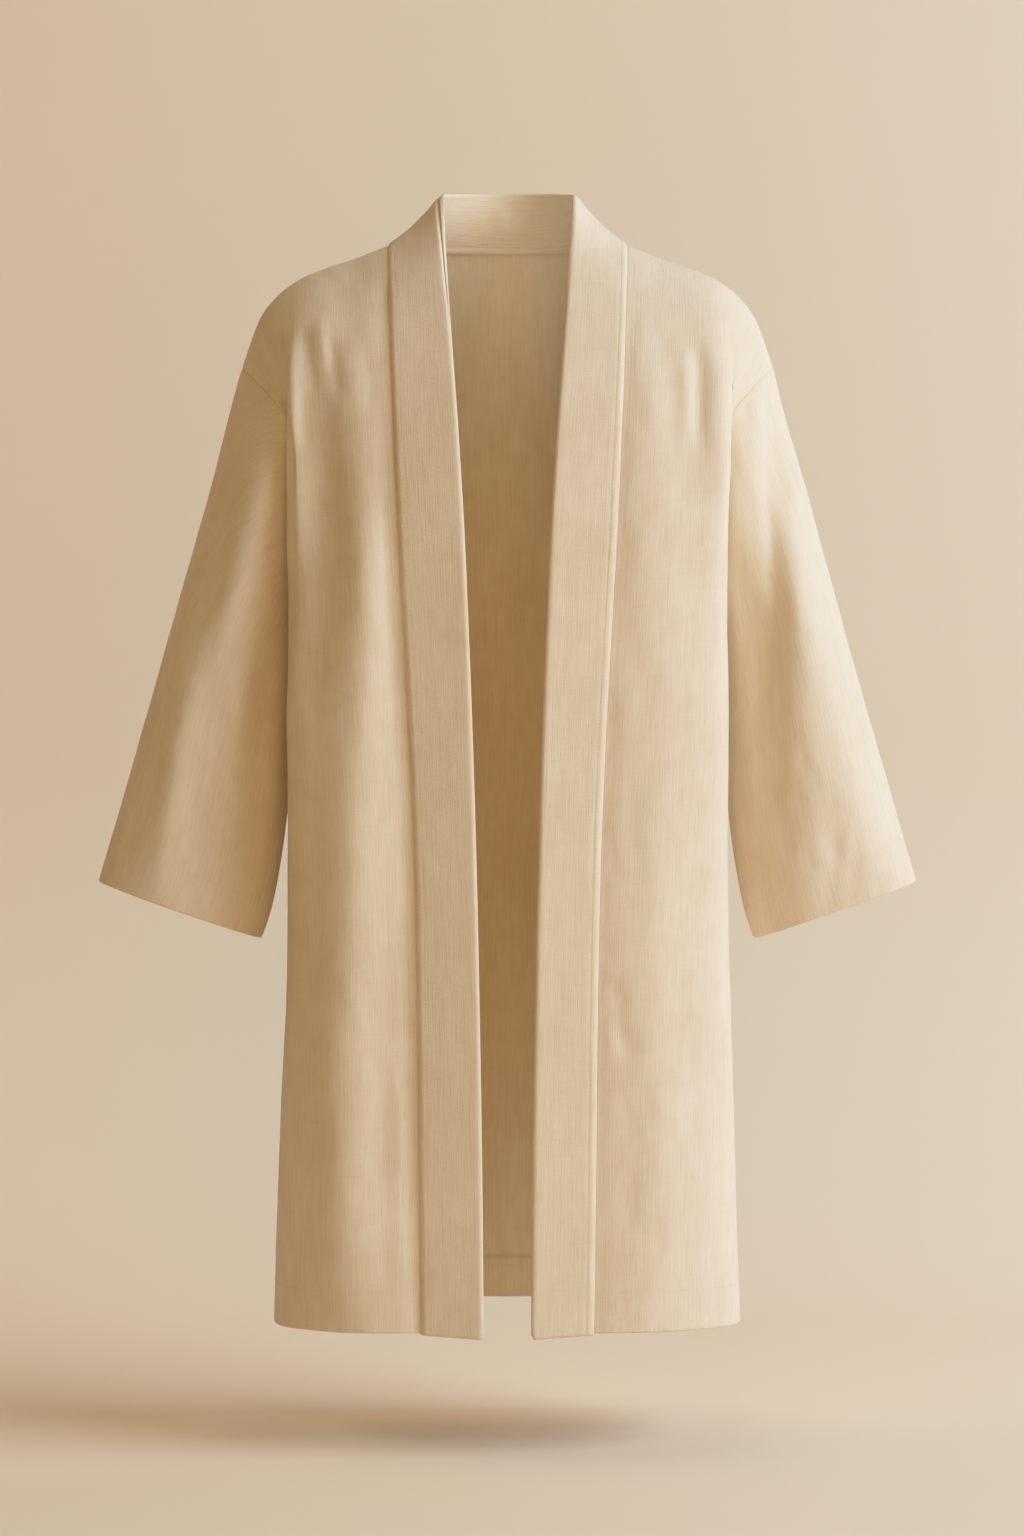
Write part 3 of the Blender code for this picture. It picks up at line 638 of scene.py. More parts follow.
def band_lip(fold):
    """How far the inner ply shows past the fold at each row."""
    heights, widths = zip(*LIP_HEIGHTS)
    lip = np.interp(fold[..., 2], heights, widths)
    on_right = ease(-fold[..., 0] / LIP_TURN) * ease(1 - fold[..., 1] / LIP_TURN)
    return (lip * on_right)[..., None]


def band_grid(front):
    """The neckband's middle, with columns from the folded edge to the sewn edge, and its lip."""
    fold, seam = band_edges(front)
    width = np.linalg.norm(seam - fold, axis=2, keepdims=True)
    lip = band_lip(fold)
    shares = []
    for place, row in enumerate(BAND_PROFILE):
        from_fold, from_seam = row[:2]
        if from_seam is None:
            past = LIP_SPREAD[place] if place < len(LIP_SPREAD) else 0
            fade = 1 - from_fold / LIP_SHIFT_ENDS
            shares.append((from_fold + lip * (LIP_SHIFT * fade - past)) / width)
        else:
            shares.append(1 - from_seam / width)
    share = np.concatenate(shares, axis=1)
    grid = blend(fold, seam, share)
    from_corner = np.clip(1 - share * width / BAND_CORNER, 0, 1)
    rise = BAND_END_SLANT * share + BAND_CORNER * (1 - np.sqrt(1 - from_corner**2))
    above_end = (grid[..., 2:] + BODY_LENGTH + BAND_LONGER) / EDGE_STEPS[-1]
    grid[..., 2:] += rise * np.clip(1 - above_end, 0, 1)
    return grid, lip[..., 0]


def mirrored(grid):
    """The same piece for the wearer's right, with its columns turned round so that it faces out."""
    return (grid * OTHER_SIDE)[:, ::-1]


def normals_of(grid, closed=False):
    """Outward directions at the points of a grid."""
    if closed:
        along_columns = np.roll(grid, -1, axis=1) - np.roll(grid, 1, axis=1)
    else:
        along_columns = np.gradient(grid, axis=1)
    return unit(np.cross(along_columns, np.gradient(grid, axis=0)))


def fold_lift(name, across, height):
    """How far the named piece's large folds lift its cloth at each point."""
    lift = np.zeros(np.broadcast(across, height).shape)
    for row in FOLDS[name]:
        fold = dict(zip(FOLD_COLUMNS, row))
        down = np.clip((fold["top"] - height) / (fold["top"] - fold["foot"]), 0, 1)
        centre = blend(fold["across_top"], fold["across_foot"], down)
        shape = np.cos(np.pi / 2 * np.clip((across - centre) / fold["half_width"], -1, 1)) ** 2
        grown = ease((fold["top"] - height) / FOLD_ENDS) * ease((height - fold["foot"]) / FOLD_ENDS)
        lift = lift + fold["lift"] * shape * grown
    return lift


def beside_seams(across):
    """0 at the seams at both sides of a piece, 1 away from them."""
    return ease(across / FOLD_CLEAR_OF_SEAM) * ease((1 - across) / FOLD_CLEAR_OF_SEAM)


def shares_across(grid, closed=False):
    """Each point's share of the way across its row."""
    if closed:
        count = grid.shape[1]
        return np.broadcast_to(np.arange(count) / count, grid.shape[:2])
    across = cloth_coordinates(grid, closed)[..., 0]
    return across / across[:, -1:]


def folded(name, grid, closed=False):
    """A piece's grid with its large folds."""
    across = shares_across(grid, closed)
    lift = fold_lift(name, across, grid[..., 2])
    if not closed:
        lift = lift * beside_seams(across)
    return grid + normals_of(grid, closed) * lift[..., None]


def crease_lift(table, x, z):
    """How far the creases of a table lift the cloth at places seen from the front."""
    lift = np.zeros(x.shape)
    for row in table:
        crease = dict(zip(CREASE_COLUMNS, np.array(row) / 1000))
        run_x, run_z = crease["x_foot"] - crease["x_top"], crease["z_foot"] - crease["z_top"]
        length = math.hypot(run_x, run_z)
        off_x, off_z = x - crease["x_top"], z - crease["z_top"]
        along = (off_x * run_x + off_z * run_z) / length**2
        beside = (off_x * run_z - off_z * run_x) / length - crease["bow"] * 4 * along * (1 - along)
        grown = ease(along / CREASE_ENDS) * ease((1 - along) / CREASE_ENDS)
        lift += crease["lift"] * grown * np.exp(-((beside / crease["half_width"]) ** 2))
    return lift


def rumple_lift(coordinates, seed):
    """Small soft waves that run mostly down the cloth."""
    chance = np.random.default_rng(seed)
    across, along = coordinates[..., 0], coordinates[..., 1]
    lift = np.zeros(across.shape)
    for _ in range(RUMPLE_WAVES):
        length = chance.uniform(*RUMPLE_LENGTHS)
        lean = chance.normal(0, RUMPLE_LEAN)
        phase = chance.uniform(0, 2 * np.pi)
        strength = chance.uniform(*RUMPLE_STRENGTHS) * length / RUMPLE_LENGTHS[1]
        place = across * math.cos(lean) + along * math.sin(lean)
        lift += strength * np.sin(2 * np.pi / length * place + phase)
    return RUMPLE_LIFT * lift


def creased(name, grid, sewn, closed, seed):
    """A piece's grid with its creases, which die away at its seams."""
    normals = normals_of(grid, closed)
    facing = normals[..., 1]
    x, z = grid[..., 0], grid[..., 2]
    lift = crease_lift(FRONT_CREASES.get(name, ()), x, z) * ease(0.5 - facing * CREASE_FADE)
    lift += crease_lift(BACK_CREASES.get(name, ()), x, z) * ease(0.5 + facing * CREASE_FADE)
    coordinates = cloth_coordinates(grid, closed)
    lift += rumple_lift(coordinates[:, : grid.shape[1]], seed)
    away = edge_distances(grid, closed)
    from_seam = np.min([away[side] for side in sewn], axis=0)
    lift *= ease(from_seam / CREASE_CLEAR_OF_SEAM)
    return grid + normals * lift[..., None]


# Shells

def cloth_coordinates(grid, closed):
    """Distances in metres across and along the cloth at each point, for the weave."""
    wide = np.concatenate([grid, grid[:, :1]], axis=1) if closed else grid
    steps = np.linalg.norm(np.diff(wide, axis=1), axis=2)
    across = np.concatenate([np.zeros((len(wide), 1)), np.cumsum(steps, axis=1)], axis=1)
    rises = np.linalg.norm(np.diff(wide, axis=0), axis=2)
    along = np.concatenate([np.zeros((1, wide.shape[1])), np.cumsum(rises, axis=0)], axis=0)
    return np.stack([across, along], axis=2)


def on_grain(name, coordinates):
    """The same distances, with the weave straight up the back's middle or along a front's sewn edge."""
    columns = coordinates.shape[1]
    line = {"back": columns // 2, "front_right": columns - 1}.get(name, 0)
    straight = coordinates.copy()
    straight[..., 0] -= coordinates[:, [line], 0]
    return straight


def quads(index):
    """Faces between the rows and columns of an index grid."""
    return np.stack([index[:-1, :-1], index[:-1, 1:], index[1:, 1:], index[1:, :-1]], axis=2).reshape(-1, 4)


def rim_of(index, closed):
    """The index grid's border as rings that keep the cloth on their left."""
    if closed:
        return [index[0], index[-1, ::-1]]
    ring = np.concatenate([index[0, :-1], index[:-1, -1], index[-1, :0:-1], index[::-1, 0]])
    return [ring]


def shell_mesh(name, outer, inner, coordinates, closed):
    """A closed mesh of an outer and an inner layer joined by rounded rims."""
    rows, width = outer.shape[:2]
    layer = rows * width
    index = np.arange(layer).reshape(rows, width)
    if closed:
        index = np.concatenate([index, index[:, :1]], axis=1)
    spots = np.arange(index.size).reshape(index.shape)
    thick = np.linalg.norm(outer - inner, axis=2, keepdims=True)
    middle = (outer + inner) / 2
    away = middle.copy()
    for side in ("first_row", "last_row") if closed else EDGES:
        edge, inside = EDGES[side]
        away[edge] += unit(middle[edge] - middle[inside]) * thick[edge] * RIM_ROUND / 2
    points = [outer.reshape(-1, 3), inner.reshape(-1, 3)]
    faces = [quads(index), quads(index)[:, ::-1] + layer]
    corners = [quads(spots), quads(spots)[:, ::-1]]
    count = 2 * layer
    for ring, ring_spots in zip(rim_of(index, closed), rim_of(spots, closed)):
        flat = away.reshape(-1, 3)[ring]
        rim = np.arange(len(ring)) + count
        rim[-1] = rim[0]
        points.append(flat[:-1])
        count += len(ring) - 1
        for high, low in ((ring, rim), (rim, ring + layer)):
            faces.append(np.stack([high[1:], high[:-1], low[:-1], low[1:]], axis=1))
            starts, ends = ring_spots[:-1], ring_spots[1:]
            corners.append(np.stack([ends, starts, starts, ends], axis=1))
    mesh = bpy.data.meshes.new(name)
    mesh.from_pydata(np.concatenate(points).tolist(), [], np.concatenate(faces).tolist())
    at_corners = coordinates.reshape(-1, 2)[np.concatenate(corners).reshape(-1)]
    mesh.uv_layers.new(name="cloth").data.foreach_set("uv", at_corners.reshape(-1))
    mesh.validate()
    mesh.shade_smooth()
    mesh.set_sharp_from_angle(angle=SHARP_EDGE)
    return mesh


def edge_distances(grid, closed):
    """Distances of each point from the first row, last row, first column and last column."""
    coordinates = cloth_coordinates(grid, closed)
    if closed:
        coordinates = coordinates[:, :-1]
    across, along = coordinates[..., 0], coordinates[..., 1]
    return {
        "first_row": along,
        "last_row": along[-1:] - along,
        "first_column": across,
        "last_column": across[:, -1:] - across,
    }


def pulled_back(grid, sides):
    """A grid drawn back a little from the named sides, where it is sewn."""
    grid = grid.copy()
    for side in sides:
        edge, inside = EDGES[side]
        grid[edge] += unit(grid[inside] - grid[edge]) * SEAM_PULL
    return grid


def leaned_to_armholes(grid, normals):
    """Normals that lean away from the armhole's middle beside its seam, so both sides sink together."""
    front, back = armhole_halves(np.linspace(0, 1, ARMHOLE_SAMPLES))
    left = np.concatenate([front, back])
    for seam in (left, left * OTHER_SIDE):
        middle = seam.mean(axis=0)
        near = np.linalg.norm(grid - middle, axis=-1) < ARMHOLE_SPAN
        spots = grid[near]
        gap = np.linalg.norm(spots[:, None] - seam, axis=-1).min(axis=-1)
        lean = (1 - ease(gap / ARMHOLE_LEAN_WIDTH))[:, None]
        normals[near] = unit(blend(normals[near], unit(spots - middle), lean))
    return normals


def panel_layers(grid, sewn, hem, closed, band_side=None):
    """The outer and inner faces of a panel: sunk at its seams, thicker at seams and hem."""
    normals = leaned_to_armholes(grid, normals_of(grid, closed))
    away = edge_distances(grid, closed)
    from_seam = np.min([away[side] for side in sewn], axis=0)
    sunk = SEAM_DIP * (1 - ease(from_seam / SEAM_DIP_WIDTH))
    if band_side in ("first_column", "last_column"):
        valley = 1 - ease(away[band_side] / BAND_VALLEY_WIDTH)
        sunk = np.maximum(sunk, valley * valley_depth(grid))
    from_allowance = np.min([away[side] for side in sewn if side != band_side], axis=0)
    pressed = 1 - ease((from_allowance - ALLOWANCE_WIDTH) / EDGE_STEPS[2])
    wall = LINEN_THICKNESS + ALLOWANCE_PLY * pressed
    wall = np.where(away[hem] < HEM_TURN_UP + EDGE_STEPS[1] / 2, LINEN_THICKNESS + HEM_PLY, wall)
    outer = pulled_back(grid - normals * sunk[..., None], sewn)
    inner = pulled_back(grid - normals * (sunk + wall)[..., None], sewn)
    return outer, inner


# Materials

def add_node(tree, kind, settings, inputs):
    """A node in a tree: its settings first, then its sockets by name or place."""
    node = tree.nodes.new(kind)
    for name, value in settings.items():
        setattr(node, name, value)
    for place, value in inputs.items():
        if isinstance(value, bpy.types.NodeSocket):
            tree.links.new(value, node.inputs[place])
        else:
            node.inputs[place].default_value = value
    return node


class Term:
    """A number, place or colour inside a material, which Python's own signs join into new ones."""

    def __init__(self, tree, socket):
        self.tree = tree
        self.socket = socket

    def node(self, kind, settings, inputs, output=0):
        """The result of a new node of this material."""
        sockets = {name: getattr(value, "socket", value) for name, value in inputs.items()}
        return Term(self.tree, add_node(self.tree, kind, settings, sockets).outputs[output])

    def math(self, operation, *others):
        return self.node("ShaderNodeMath", {"operation": operation}, dict(enumerate((self, *others))))

    def __add__(self, other):
        return self.math("ADD", other)

    def __sub__(self, other):
        return self.math("SUBTRACT", other)

    def __mul__(self, other):
        return self.math("MULTIPLY", other)

    def __rsub__(self, other):
        return self * -1 + other

    __radd__ = __add__
    __rmul__ = __mul__

    def held(self):
        """This value kept from 0 to 1."""
        return self.node("ShaderNodeClamp", {}, {0: self})

    def wave(self):
        return self.math("SINE")

    def between(self, low, high):
        """A colour from low, where this value is 0, to high, where it is 1."""
        return self.node("ShaderNodeMix", {"data_type": "RGBA"}, {0: self, 6: low, 7: high}, 2)

    def vector(self, other):
        """A place from two values, across and along."""
        return self.node("ShaderNodeCombineXYZ", {}, {0: self, 1: other})

    def noise(self, scale, detail, dimensions="3D"):
        settings = {"noise_dimensions": dimensions}
        return self.node("ShaderNodeTexNoise", settings, {"Vector": self, "Scale": scale, "Detail": detail})

    def feed(self, shader, name):
        """Leads this value to a socket of the finished surface."""
        self.tree.links.new(self.socket, shader.inputs[name])


THREAD_PITCH = 0.0006
LINEN_LIGHT = (0.86, 0.76, 0.62, 1)
LINEN_DARK = (0.70, 0.58, 0.42, 1)
LINEN_FINISH = {
    "Sheen Weight": 0.12,
    "Sheen Roughness": 0.5,
    "Sheen Tint": (0.95, 0.86, 0.72, 1),
    "Specular IOR Level": 0.2,
}
# Unevenness of the linen: waves in a metre across and along the cloth, how fine they go on, and their
# shares in its tone and in its relief.
GRAINS = {
    "slubs": (640, 17, 2.0, 0.7, 0.9),
    "fine_slubs": (1500, 55, 2.0, 0.6, 0.6),
    "weft_slubs": (21, 760, 2.0, 0.2, 0.25),
    "mottle": (14, 9, 3.0, 0.6, 0),
    "patches": (70, 40, 3.0, 0.5, 0),
}
LINEN_TONE = 0.6               # between the dark and the light linen
CHECKS_IN_TONE = 0.04          # shares of the crossing threads
CHECKS_IN_RELIEF = 0.1
RELIEF = {"Strength": 0.35, "Distance": 0.0006}
ROUGHNESS = 0.80
SLUBS_IN_ROUGHNESS = 0.15
THREAD_LIGHT = (0.80, 0.70, 0.54, 1)
THREAD_DARK = (0.62, 0.50, 0.34, 1)
THREAD_FINISH = {"Roughness": 0.7, "Sheen Weight": 0.1}
TWIST_SCALE = 900.0
PAPER_LIGHT = (0.83, 0.731, 0.59, 1)
PAPER_DARK = (0.79, 0.695, 0.557, 1)
PAPER_FINISH = {
    "Emission Color": (1.0, 0.90, 0.75, 1),
    "Emission Strength": 0.036,        # a faint glow, as of paper in a bright room
    "Roughness": 0.95,
    "Specular IOR Level": 0.1,
}
CLOUD_SCALE = 1.5


def new_material(name, finish):
    """A material and its shader, with the values that are the same all over the surface."""
    material = bpy.data.materials.new(name)
    material.use_nodes = True
    shader = material.node_tree.nodes["Principled BSDF"]
    for socket, value in finish.items():
        shader.inputs[socket].default_value = value
    return material, shader


def read_node(material, kind, output):
    """What a node without inputs gives, such as a place on the surface."""
    tree = material.node_tree
    return Term(tree, tree.nodes.new(kind).outputs[output])


def linen_material(name, shift):
    """Plain-woven linen: slubs down the cloth, weaker ones across it, and soft uneven colour."""
    material, shader = new_material(name, LINEN_FINISH)
    cloth = read_node(material, "ShaderNodeUVMap", "UV")
    cloth.socket.node.uv_map = "cloth"
    apart = cloth.node("ShaderNodeSeparateXYZ", {}, {0: cloth}).socket.node
    across, along = (Term(cloth.tree, apart.outputs[way]) + shift for way in "XY")
    warp, weft = ((way * (2 * math.pi / THREAD_PITCH)).wave() for way in (across, along))
    checks = warp * weft
    tone = LINEN_TONE + checks * CHECKS_IN_TONE
    relief = checks * CHECKS_IN_RELIEF
    grains = {}
    for kind, (waves_across, waves_along, detail, in_tone, in_relief) in GRAINS.items():
        grain = (across * waves_across).vector(along * waves_along).noise(1.0, detail, "2D")
        tone = tone + (grain - 0.5) * in_tone
        if in_relief:
            relief = relief + grain * in_relief
        grains[kind] = grain
    rough = ROUGHNESS + (grains["fine_slubs"] - 0.5) * SLUBS_IN_ROUGHNESS
    tone.held().between(LINEN_DARK, LINEN_LIGHT).feed(shader, "Base Color")
    rough.feed(shader, "Roughness")
    relief.node("ShaderNodeBump", {}, {**RELIEF, "Height": relief}).feed(shader, "Normal")
    return material


def backdrop_material():
    """Matt warm paper, a little uneven, that hides nothing from a view behind it."""
    material, shader = new_material("backdrop_paper", PAPER_FINISH)
    behind = read_node(material, "ShaderNodeNewGeometry", "Backfacing")
    (1 - behind).feed(shader, "Alpha")
    cloud = read_node(material, "ShaderNodeTexCoord", "Object").noise(CLOUD_SCALE, 2.0)
    cloud.between(PAPER_DARK, PAPER_LIGHT).feed(shader, "Base Color")
    return material


def thread_material():
    """Sewing thread of nearly the linen's colour, with its twist."""
    material, shader = new_material("sewing_thread", THREAD_FINISH)
    twist = read_node(material, "ShaderNodeTexCoord", "Object").noise(TWIST_SCALE, 1.0)
    twist.between(THREAD_DARK, THREAD_LIGHT).feed(shader, "Base Color")
    return material


# Sewing

def stitch_tree():
    """Nodes that lay one stitch after another along lines."""
    tree = bpy.data.node_groups.new("stitches", "GeometryNodeTree")
    tree.interface.new_socket("Lines", in_out="INPUT", socket_type="NodeSocketGeometry")
    for name in ("Pitch", "Length", "Thread Radius"):
        tree.interface.new_socket(name, in_out="INPUT", socket_type="NodeSocketFloat")
    tree.interface.new_socket("Seed", in_out="INPUT", socket_type="NodeSocketInt")
    tree.interface.new_socket("Thread", in_out="INPUT", socket_type="NodeSocketMaterial")
    tree.interface.new_socket("Stitches", in_out="OUTPUT", socket_type="NodeSocketGeometry")

    def add(kind, inputs, **settings):
        return add_node(tree, kind, settings, inputs).outputs

    given = tree.nodes.new("NodeGroupInput").outputs
    lines = add("GeometryNodeMeshToCurve", {"Mesh": given["Lines"]})
    spots = add("GeometryNodeResampleCurve", {"Curve": lines[0], "Length": given["Pitch"]}, mode="LENGTH")
    tangent = add("GeometryNodeInputTangent", {})
    turned = add("FunctionNodeAlignRotationToVector", {"Vector": tangent[0]}, axis="X")
    ball = add("GeometryNodeMeshUVSphere", {"Segments": 6, "Rings": 5, "Radius": 0.5})
    thick = add("ShaderNodeMath", {0: given["Thread Radius"], 1: 2.0}, operation="MULTIPLY")
    sizes = add("ShaderNodeCombineXYZ", {0: given["Length"], 1: thick[0], 2: thick[0]})
    stitch = add("GeometryNodeTransform", {"Geometry": ball[0], "Scale": sizes[0]})
    least, most = STITCH_SIZES
    uneven = add("FunctionNodeRandomValue", {2: least, 3: most, "Seed": given["Seed"]}, data_type="FLOAT")
    laying = {"Points": spots[0], "Instance": stitch[0], "Rotation": turned[0], "Scale": uneven[1]}
    laid = add("GeometryNodeInstanceOnPoints", laying)
    real = add("GeometryNodeRealizeInstances", {"Geometry": laid[0]})
    smoothed = add("GeometryNodeSetShadeSmooth", {"Geometry": real[0]})
    coloured = add("GeometryNodeSetMaterial", {"Geometry": smoothed[0], "Material": given["Thread"]})
    add("NodeGroupOutput", {0: coloured[0]})
    return tree


def put(name, data):
    """A new object in the scene."""
    thing = bpy.data.objects.new(name, data)
    bpy.context.scene.collection.objects.link(thing)
    return thing


def sew(name, lines, tree, thread):
    """Stitches along lines of points, as one plain mesh."""
    points = np.concatenate(lines)
    edges, first = [], 0
    for line in lines:
        edges += [(first + k, first + k + 1) for k in range(len(line) - 1)]
        first += len(line)
    mesh = bpy.data.meshes.new(f"{name}_lines")
    mesh.from_pydata(points.tolist(), edges, [])
    row = put(name, mesh)
    laying = row.modifiers.new("stitches", "NODES")
    laying.node_group = tree
    values = {"Pitch": STITCH_PITCH, "Length": STITCH_LENGTH, "Thread Radius": THREAD_RADIUS,
              "Seed": STITCH_SEED, "Thread": thread}
    for socket in tree.interface.items_tree:
        if socket.name in values:
            laying[socket.identifier] = values[socket.name]
    shape = row.evaluated_get(bpy.context.evaluated_depsgraph_get())
    stitches = bpy.data.meshes.new_from_object(shape)
    row.modifiers.remove(laying)
    row.data = stitches
    stitches.name = name
    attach(row, "root")
    return row


# Pieces

def add_shell(name, outer, inner, coordinates, material, closed=False):
    piece = put(name, shell_mesh(name, outer, inner, coordinates, closed))
    piece.data.materials.append(material)
    return piece


def declare(piece, node, stitches):
    """Ties a finished piece to "root" and hides its solid; the stitches given are not used here."""
    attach(piece, "root")
    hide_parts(node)


def leftness_of(grid):
    """0 on the wearer's right, 1 on the left, and between them round the back of the neck."""
    return ease(0.5 + grid[..., 0] / (2 * NECK_SEAM_SIDE[0]))


def valley_depth(grid):
    """How far the fronts sink towards the neckband, which fades out up at the shoulder."""
    deepest = blend(BAND_VALLEY_RIGHT, BAND_VALLEY_LEFT, leftness_of(grid))
    return deepest * ease(-grid[..., 2] / BAND_VALLEY_ENDS)


def band_layers(grid, lip):
    """The neckband's outer and inner faces, with its folded edge tipped a little forward."""
    across = np.clip(shares_across(grid), 0, 1)
    sewn_edge = grid[:, -1:]
    leftness = leftness_of(sewn_edge)
    tilt = blend(BAND_TILT_RIGHT, BAND_TILT_LEFT, leftness) * ease(-sewn_edge[..., 2] / BAND_TILT_ENDS)
    sag = BAND_SAG * np.sin(math.pi * across) * ease(1 + sewn_edge[..., 2] / BAND_SAG_ENDS)
    grid = grid + normals_of(grid) * (tilt * (1 - across) - sag)[..., None]
    grid = grid + normals_of(grid) * crease_lift(BAND_CREASES, grid[..., 0], grid[..., 2])[..., None]
    normals = normals_of(grid)
    outer, inner, ditch, sinks = (column(BAND_PROFILE, BAND_COLUMNS_ACROSS, name)[None, :]
                                  for name in ("outer", "inner", "ditch", "sinks"))
    ditch = ditch * blend(BAND_DITCH_RIGHT, BAND_DITCH_LEFT, leftness)
    sunk = sinks * valley_depth(sewn_edge)
    lipped = np.zeros(grid.shape[1])
    lipped[: len(LIP_SINK)] = LIP_SINK
    under = np.zeros(grid.shape[1])
    under[:LIP_UNDER_COLUMNS] = LIP_UNDER
    outer = outer - ditch - sunk - lip * lipped
    inner = inner - ditch / 2 + sunk + lip * under
    return grid + normals * outer[..., None], grid - normals * inner[..., None]


def hem_lines(outer, inner, hem, closed):
    """Rows of stitches that hold a turned-up hem: one outside and two inside."""
    from_edge = edge_distances(outer, closed)[hem].mean(axis=1)
    wanted = [HEM_TURN_UP - inset for inset in HEM_STITCH_INSETS]
    rows = [int(np.argmin(np.abs(from_edge - distance))) for distance in wanted]
    lines = [outer[rows[0]]] + [inner[row] for row in rows]
    if closed:
        lines = [np.concatenate([line, line[:1]]) for line in lines]
    return lines


def neck_line(inner):
    """The row of stitches inside the back that holds down the neckband's seam."""
    line = inner[NECK_STITCH_ROW]
    return line[np.abs(line[:, 0]) < NECK_SEAM_SIDE[0] - NECK_STITCH_ENDS]


WEAVE_SHIFT = 1.37             # from one panel to the next, so that no two have the same slubs
BAND_WEAVE_SHIFT = 7.9


def make_jacket():
    front, sleeve = front_grid(), sleeve_grid()
    right_sleeve = np.roll(mirrored(folded("sleeve_right", sleeve, closed=True)), 1, axis=1)
    panels = (
        ("back", folded("back", back_grid()), False),
        ("front_left", folded("front_left", front), False),
        ("front_right", mirrored(folded("front_right", front)), False),
        ("sleeve_left", folded("sleeve_left", sleeve, closed=True), True),
        ("sleeve_right", right_sleeve, True),
    )
    tree, thread = stitch_tree(), thread_material()
    for place, (name, grid, closed) in enumerate(panels):
        sewn, hem = (SLEEVE_SEAMS, "last_row") if closed else (BODY_SEAMS, "first_row")
        grid = creased(name, grid, sewn, closed, RUMPLE_SEED + place)
        outer, inner = panel_layers(grid, sewn, hem, closed, BAND_SIDES.get(name))
        lines = hem_lines(outer, inner, hem, closed)
        if name == "back":
            lines.append(neck_line(inner))
        stitches = sew(f"{name}_hem_stitches", lines, tree, thread)
        linen = linen_material(f"{name}_linen", place * WEAVE_SHIFT)
        weave = on_grain(name, cloth_coordinates(grid, closed))
        declare(add_shell(f"{name}_cloth", outer, inner, weave, linen, closed), name, stitches)
    band, lip = band_grid(front)
    outer, inner = band_layers(band, lip)
    linen = linen_material("neckband_linen", BAND_WEAVE_SHIFT)
    shell = add_shell("neckband_cloth", outer, inner, cloth_coordinates(band, False), linen)
    lines = [face[:, BAND_STITCH_COLUMN] for face in (outer, inner)]
    declare(shell, "neckband", sew("neckband_stitches", lines, tree, thread))


# Studio

FLOOR_HEIGHT = -1.063
FLOOR_FRONT = -3.7
WALL_DEPTH = 1.35
WALL_TOP = 3.0
PAPER_HALF_WIDTH = 4.0
BEND_RADIUS = 0.6
BEND_STEPS = 24
ROOM_COLOUR = (0.60, 0.52, 0.41, 1)
CAMERA_PLACE = (0.004, -3.8, -0.466)
CAMERA_FIELD = 2 * math.atan(768 / 4222)
# How bright light is shown: darker tones stay as they are, and bright cloth rounds off gently as on film.
FILM_SHOULDER = ((0.4, 0.4), (0.6, 0.59), (0.8, 0.74), (1.0, 0.86), (1.5, 1.0))
ALL_COLOURS = 3                # place of the curve that bends red, green and blue together

# Round lamps: place, where it points, width, power and colour.
LAMPS = {
    "window": ((4.186, -1.524, 1.67), (0, 0, -0.6), 5.0, 301, (0.79, 0.85, 0.99)),
    "lamp_above": ((1.363, -1.625, 2.028), (0, 0, -0.5), 4.0, 18, (1.0, 0.80, 0.34)),
    "lamp_in_front": ((-0.4, -3.2, 1.6), (0, 0, -0.3), 2.4, 4, (0.5, 0.85, 1.0)),
    "room_glow": ((0, -3.6, -0.1), (0, 0, -0.5), 2.4, 27.5, (1.0, 0.525, 0.10)),
    "left_card": ((-2.3, 0.75, 0.9), (-0.2, 0, -0.3), 1.6, 10, (1.0, 0.67, 0.31)),
    "lamp_up_left": ((-1.8, 0.3, 2.0), (-0.2, 0, -0.2), 1.6, 6, (1.0, 0.72, 0.38)),
    "light_in_neck": ((0, -0.06, -0.01), (0, 0.07, -0.06), 0.06, 0.031, (0.92, 1.0, 0.96)),
}
# A tall strip that stands in for the light that comes through thin linen into the hollow jacket.
CLOTH_GLOW = ((0, -0.03, -0.56), (0, 0.12, -0.56), 0.05, 0.076, (1.0, 0.62, 0.23))
CLOTH_GLOW_HEIGHT = 0.8


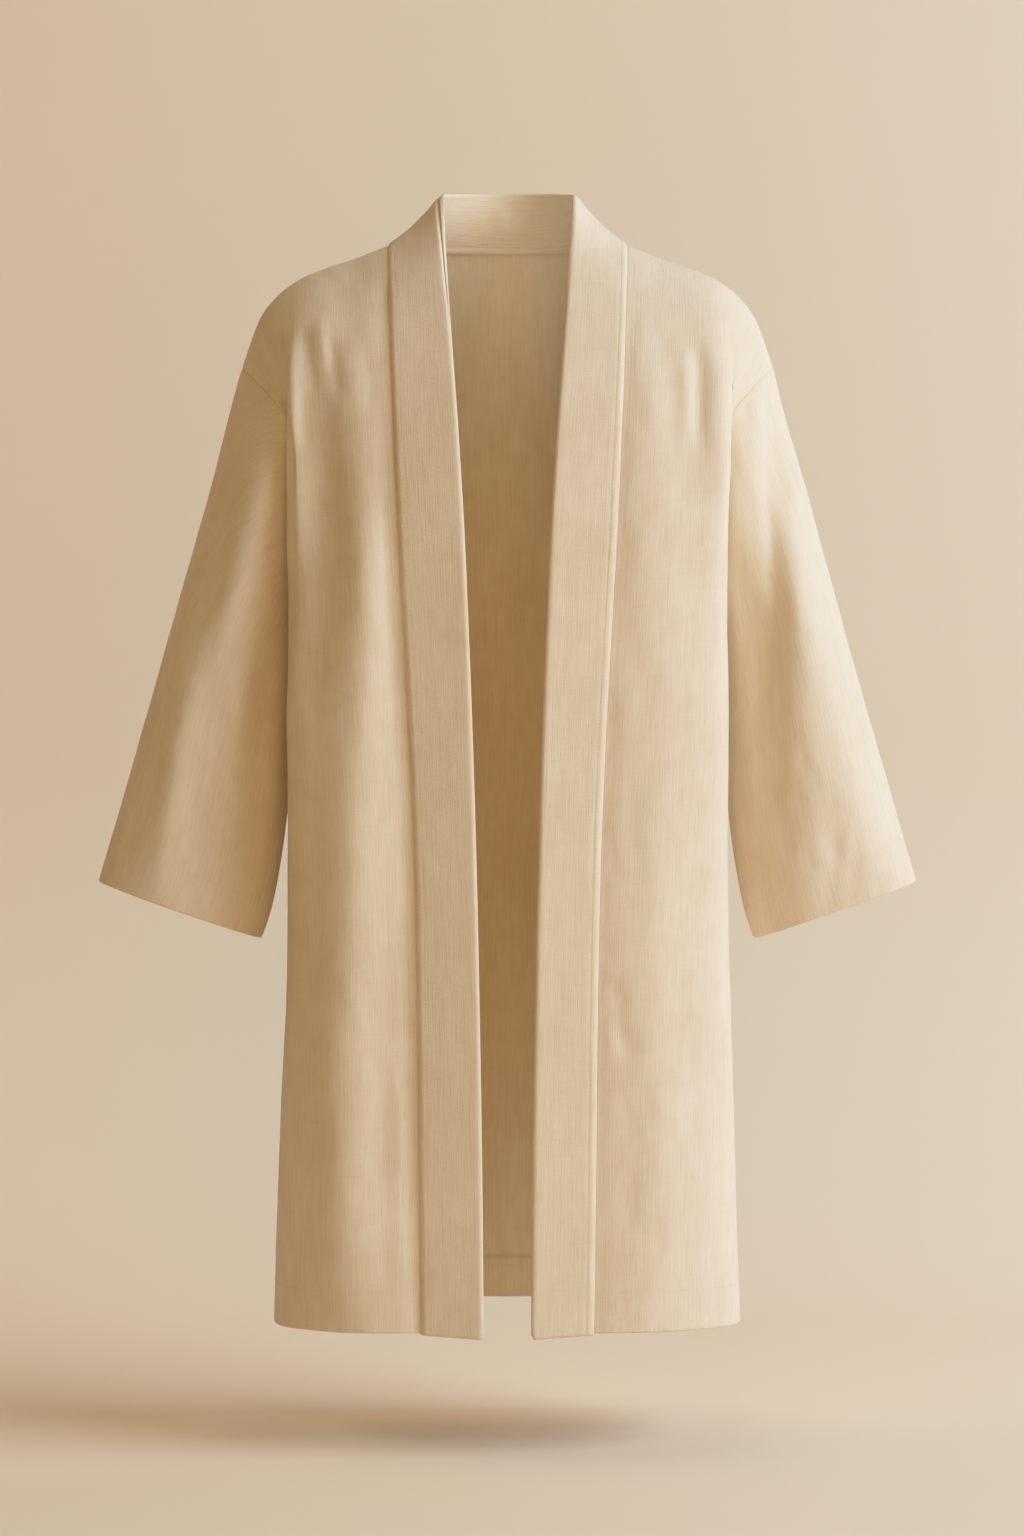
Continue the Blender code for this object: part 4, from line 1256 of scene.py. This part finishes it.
def make_backdrop():
    """One sheet of paper: a floor that bends up into a wall."""
    turn = np.linspace(0, math.pi / 2, BEND_STEPS)
    bend_y = WALL_DEPTH - BEND_RADIUS + BEND_RADIUS * np.sin(turn)
    bend_z = FLOOR_HEIGHT + BEND_RADIUS * (1 - np.cos(turn))
    line_y = np.concatenate([[FLOOR_FRONT], bend_y, [WALL_DEPTH]])
    line_z = np.concatenate([[FLOOR_HEIGHT], bend_z, [WALL_TOP]])
    sides = (-PAPER_HALF_WIDTH, PAPER_HALF_WIDTH)
    points = [(x, y, z) for y, z in zip(line_y, line_z) for x in sides]
    index = np.arange(len(points)).reshape(-1, 2)
    mesh = bpy.data.meshes.new("backdrop")
    mesh.from_pydata(points, [], quads(index).tolist())
    mesh.shade_smooth()
    mesh.materials.append(backdrop_material())
    put("backdrop", mesh)


def add_light(name, place, target, size, power, colour):
    """A soft round lamp, which the camera doesn't see."""
    light = bpy.data.lights.new(name, "AREA")
    light.shape = "DISK"
    light.size = size
    light.energy = power
    light.color = colour
    lamp = put(name, light)
    lamp.visible_camera = False
    lamp.location = place
    away = np.array(place) - np.array(target)
    tip = math.atan2(math.hypot(away[0], away[1]), away[2])
    lamp.rotation_euler = (tip, 0, math.atan2(away[0], -away[1]))
    return light


def make_room():
    """What shows past the paper's edges: a plain pale colour that gives no light."""
    world = bpy.data.worlds.new("room")
    world.use_nodes = True
    world.node_tree.nodes["Background"].inputs["Color"].default_value = ROOM_COLOUR
    world.cycles_visibility.diffuse = False
    world.cycles_visibility.glossy = False
    bpy.context.scene.world = world


def make_camera():
    view = bpy.data.cameras.new("camera")
    view.sensor_fit = "VERTICAL"
    view.angle = CAMERA_FIELD
    camera = put("camera", view)
    camera.location = CAMERA_PLACE
    camera.rotation_euler = (math.pi / 2, 0, 0)
    bpy.context.scene.camera = camera


def expose():
    view = bpy.context.scene.view_settings
    view.view_transform = "Standard"
    view.use_curve_mapping = True
    view.curve_mapping.use_clip = False
    tone = view.curve_mapping.curves[ALL_COLOURS]
    tone.points[-1].location = FILM_SHOULDER[-1]
    for light, shown in FILM_SHOULDER[:-1]:
        tone.points.new(light, shown)
    view.curve_mapping.update()


def make_studio():
    make_backdrop()
    for name, lamp in LAMPS.items():
        add_light(name, *lamp)
    strip = add_light("light_through_cloth", *CLOTH_GLOW)
    strip.shape = "RECTANGLE"
    strip.size_y = CLOTH_GLOW_HEIGHT
    make_room()
    make_camera()
    expose()


make_jacket()
make_studio()
